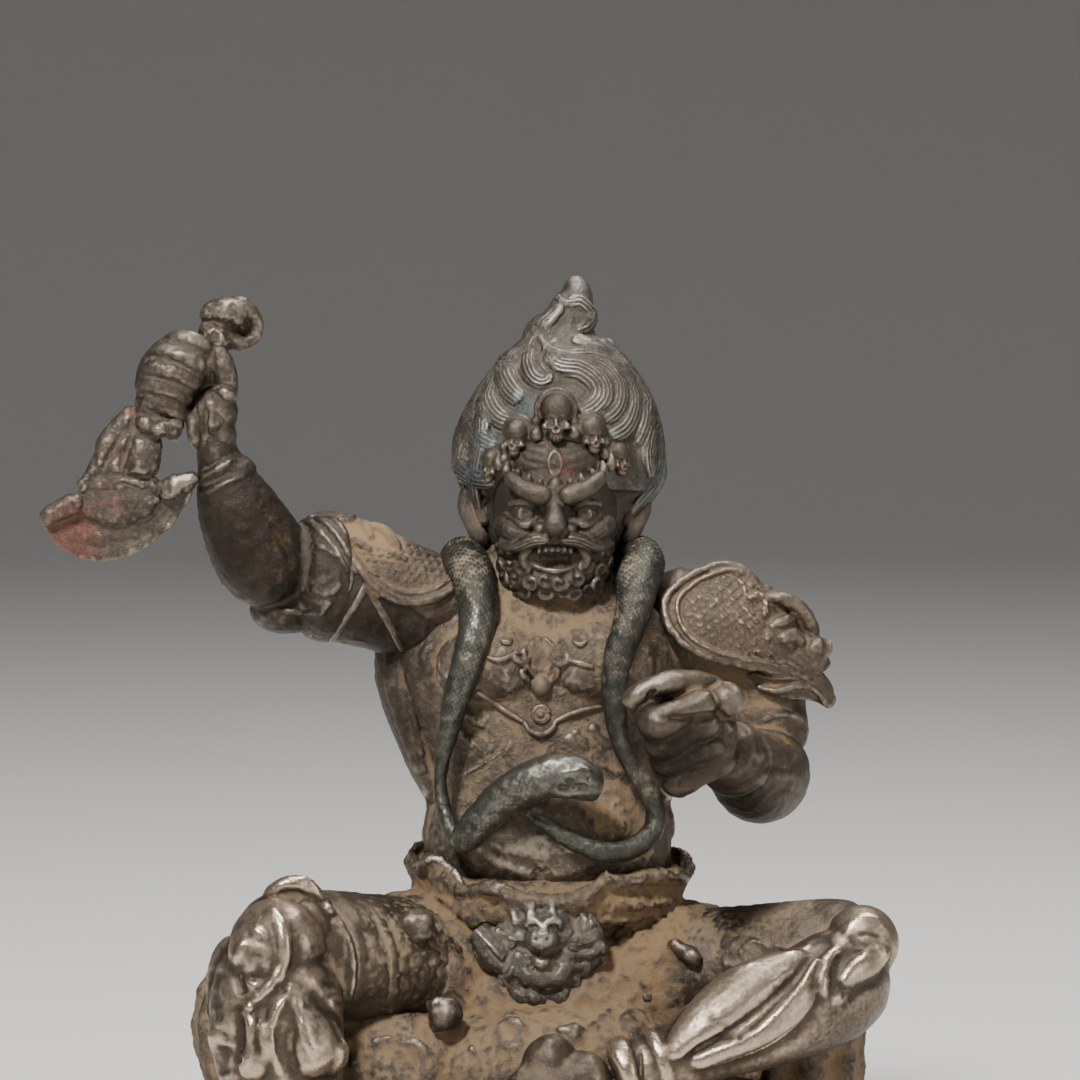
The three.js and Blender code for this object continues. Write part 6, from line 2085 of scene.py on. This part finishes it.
# %% How each piece is worn
WORN = [  # piece, metal, share of its triangles that is kept, and what `weather` takes
    (torso, pale, 0.4, dict(
        dusty=0.18, rubbed=-0.1,
        dust_at="13 -12 71 8 0.55, 0 -14 100 14 0.3, 18 -8 95 8 0.3",
        rub_at=pinned("507 682 -14 5 0.2, 575 687 -14 6 0.2") + table("-4 -16 68 7 0.5"),
        # The dark spots here are painted shadow on the flank under the raised arm, and they darken the
        # belly slightly.
        dark_at=pinned("402 650 -4 8 0.8, 410 720 -4 8 0.8") + table("-3 -16 68 8 0.15"))),
    (face, smoky_and_shaded, 0.48, dict(
        dusty=-0.05, dust_at="-11 -1 114 5 0.6, 13 -1 114 5 0.6", red_at="2.5 -13 122.5 3.5 0.45")),
    (hair, ashen, 0.48, dict(
        dusty=0.02,
        teal_at="""
        -4 -8 132 5 0.6, -9 -6 126 5 0.6, -12 -5 121 5 0.7, 9 -6 128 6 0.4, 17 -2 119 7 0.6, 3 0 142 4 0.35
        """)),
    (crown, smoky_and_shaded, 0.7, dict(dusty=0.12, red_at="10 -8 122.5 3 0.6, 6 -11 126 3 0.4, 0.8 -13 127.5 2 0.5")),
    (snake, greenish, 0.5, dict(
        dusty=-0.16, rubbed=0.03, passes=(12, 60),
        dust_at=pinned("628 612 -13 8 0.6, 618 672 -15 8 0.5, 466 556 -11 8 0.85, 615 552 -11 8 0.85")
        + table("14 -13 76 6 0.6, 12 -15 67 5 0.35, -12.6 0 110 7 0.9, 13.6 0 110 7 0.9"))),
    (raised_arm, smoky_and_shaded, 0.4, dict(
        dusty=-0.1, dust_at="-53 -14 134 9 0.25, -32 -8 108 8 0.4", red_at="-58 -16 129 6 0.5",
        # The dark spots here are painted shadow on the forearm and on the upper arm under the shoulder
        # plate.
        dark_at=pinned("225 560 -16 9 0.95, 380 625 -8 10 0.7, 300 630 -12 8 0.7")
        + table("-44 -12 112 15 0.95"),
        # The gold spots here are a strip on the forearm, partly gilt and partly painted glints.
        gilt_and_glint_at="-40.8 -15 116 2.6 0.75, -39.9 -15 112 3.2 0.8, -38.6 -15 107.6 2.6 0.65")),
    (knife, smoky_and_shaded, 0.55, dict(
        dusty=0.12, rub_at="-52 -16 121 3.5 0.8, -46 -15 145 2.5 0.4",
        red_at="""
        -70 -14 113 8 0.7, -64 -15 118 5 0.5, -64 -13 125 6 0.5, -60 -14 131 4 0.45, -46 -12 141 5 0.3
        """)),
    (left_arm, copper, 0.4, dict(
        dusty=-0.12, dust_at="26 -12 91 10 0.9, 21 -34 92 5 0.35", rub_at="15 -36 92 4 0.4",
        # The dark spots here are painted shadow on the lower fist, the elbow and the underside of the
        # forearm.
        dark_at=pinned("675 755 -36 10 1, 715 765 -30 8 0.8") + table("28 -22 75 9 0.85, 34 -8 72 7 0.6"),
        # The gold spot here, near the elbow, is partly gilt and partly a painted glint.
        gilt_and_glint_at="35 -14 83 3.5 0.7")),
    (right_plate, copper, 0.6, dict(dusty=0.1, rubbed=-0.08, dust_at=pinned("372 534 -8 5 0.8"))),
    (left_plate, copper, 0.6, dict(dusty=0.05)),
    (ornament, pale, 0.9, dict(dusty=0.3)),
    (skirt, copper, 0.4, dict(
        dusty=0.46, rubbed=-0.35, dust_at=pinned("640 925 -14 9 0.6"),
        rub_at="-19.4 -20 56 3 0.9, -13.6 -28 45.4 3 0.8, 20 -17 51.4 3.4 0.9",
        # The dark spots here only darken the stub and a toggle.
        dark_at=pinned("452 1018 -27 3 0.9") + table("20 -16 50 3 0.6"))),
    (mask, ashen, 0.75, dict(
        # The dark spot here darkens the bottom of the mask's beard.
        dusty=0.3, rubbed=-0.08, rub_at=pinned("540 932 -21 4 0.6"), dark_at=pinned("545 1000 -19 4 0.6"))),
    (right_leg, bright, 0.4, dict(
        dusty=-0.35, rubbed=0.14,
        dust_at=pinned("376 950 -24 9 1")
        + table("-20 -14 50 13 0.95, -50 -24 44 7 0.65, -29 -26 50 6 0.4"),
        # The gold spots here are painted glints on the knee and the shin.
        gilt_and_glint_at=pinned("262 1030 -40 3 0.35, 300 1055 -40 4 0.25, 248 985 -38 1.5 0.5"))),
    (left_leg, bright, 0.4, dict(
        dusty=-0.35, rubbed=0.18, dust_at="18 -14 55 14 0.95, 34 -13 57 12 0.9, -2 -38 37 9 0.8",
        # The dark spots here are painted shadow on the lower calf and the foot.
        dark_at=pinned("850 1040 -24 10 0.7, 790 1068 -28 6 0.6") + table("-2 -36 35 8 0.4"),
        # The gold spots here are painted glints along the ridges of the shin.
        gilt_and_glint_at=pinned("775 1033 -34 4 0.3, 715 1050 -38 4 0.25, 826 992 -28 2.5 0.35"))),
    (seat, copper, 0.3, dict(dusty=0.3, rubbed=-0.35)),
]


# %% Finish the pieces
total = 0
for piece, metal, share, wear in WORN:
    weather(piece, **wear)
    thin(piece, share)
    total += cast(piece, metal)
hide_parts("seated_figure")
weather(plinth, 0.1)
total += cast(plinth, copper, (0, 0, 0))
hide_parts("plinth")
print("total", total)


# %% [markdown]
# ## Studio
#
# A floor that curves up to a wall, the camera of the photograph, one key light from the left, a
# broad one from above, and a weak fill. The world adds a little grey light.


# %% Floor
FLAT = 1.5  # metres of level floor, and the radius of the curve round it
WALL = 4.0


def floor_dish():
    """A pale floor that curves up all round, far from the statue."""
    bm = bmesh.new()
    turns = np.linspace(0, math.pi / 2, 16)[1:]
    curve = [(FLAT + FLAT * math.sin(a), FLAT - FLAT * math.cos(a)) for a in turns]
    line = [(0, 0), (FLAT, 0), *curve, (2 * FLAT, WALL)]
    verts = [bm.verts.new((x, 0, z)) for x, z in line]
    edges = [bm.edges.new(pair) for pair in zip(verts, verts[1:])]
    whole = 2 * math.pi
    bmesh.ops.spin(bm, geom=verts + edges, axis=UP, cent=(0, 0, 0), angle=whole, steps=96, use_merge=True)
    bmesh.ops.remove_doubles(bm, verts=bm.verts, dist=1e-5)
    mesh = bpy.data.meshes.new("floor")
    bm.to_mesh(mesh)
    bm.free()
    if mesh.polygons[0].normal.z < 0:
        mesh.flip_normals()
    shade_smooth(mesh)
    floor = bpy.data.objects.new("floor", mesh)
    bpy.context.scene.collection.objects.link(floor)
    plaster = bpy.data.materials.new("pale floor")
    plaster.use_nodes = True
    shader = plaster.node_tree.nodes["Principled BSDF"]
    shader.inputs["Base Color"].default_value = (0.72, 0.71, 0.69, 1)
    shader.inputs["Roughness"].default_value = 0.9
    mesh.materials.append(plaster)


floor_dish()

# %% Camera
SENSOR = 36
aim = Vector(AIM + np.array(SPINE)) * MM
camera = bpy.data.objects.new("camera", bpy.data.cameras.new("camera"))
bpy.context.scene.collection.objects.link(camera)
to_lens = Vector(BACK)
camera.location = aim + to_lens * LENS_REACH * MM
camera.rotation_mode = "QUATERNION"
camera.rotation_quaternion = (-to_lens).to_track_quat("-Z", "Y")
camera.data.sensor_width = SENSOR
camera.data.lens = SENSOR * LENS_REACH / (PIXELS * PIXEL)
camera.data.clip_start = 0.01
bpy.context.scene.camera = camera


# %% Light
def soft_light(name, location, size, power):
    lamp = bpy.data.objects.new(name, bpy.data.lights.new(name, "AREA"))
    lamp.data.size = size
    lamp.data.energy = power
    lamp.location = location
    lamp.rotation_mode = "QUATERNION"
    lamp.rotation_quaternion = (aim - Vector(location)).to_track_quat("-Z", "Y")
    bpy.context.scene.collection.objects.link(lamp)


soft_light("key", (-0.22, -0.5, 0.66), 0.12, 10.5)
soft_light("top", (0.15, 0.1, 0.75), 0.3, 5.0)
soft_light("fill", (0.6, -0.4, 0.25), 0.4, 1.5)
world = bpy.data.worlds.new("studio")
bpy.context.scene.world = world
world.use_nodes = True
world.node_tree.nodes["Background"].inputs[0].default_value = (0.5, 0.5, 0.5, 1)
world.node_tree.nodes["Background"].inputs[1].default_value = 0.2
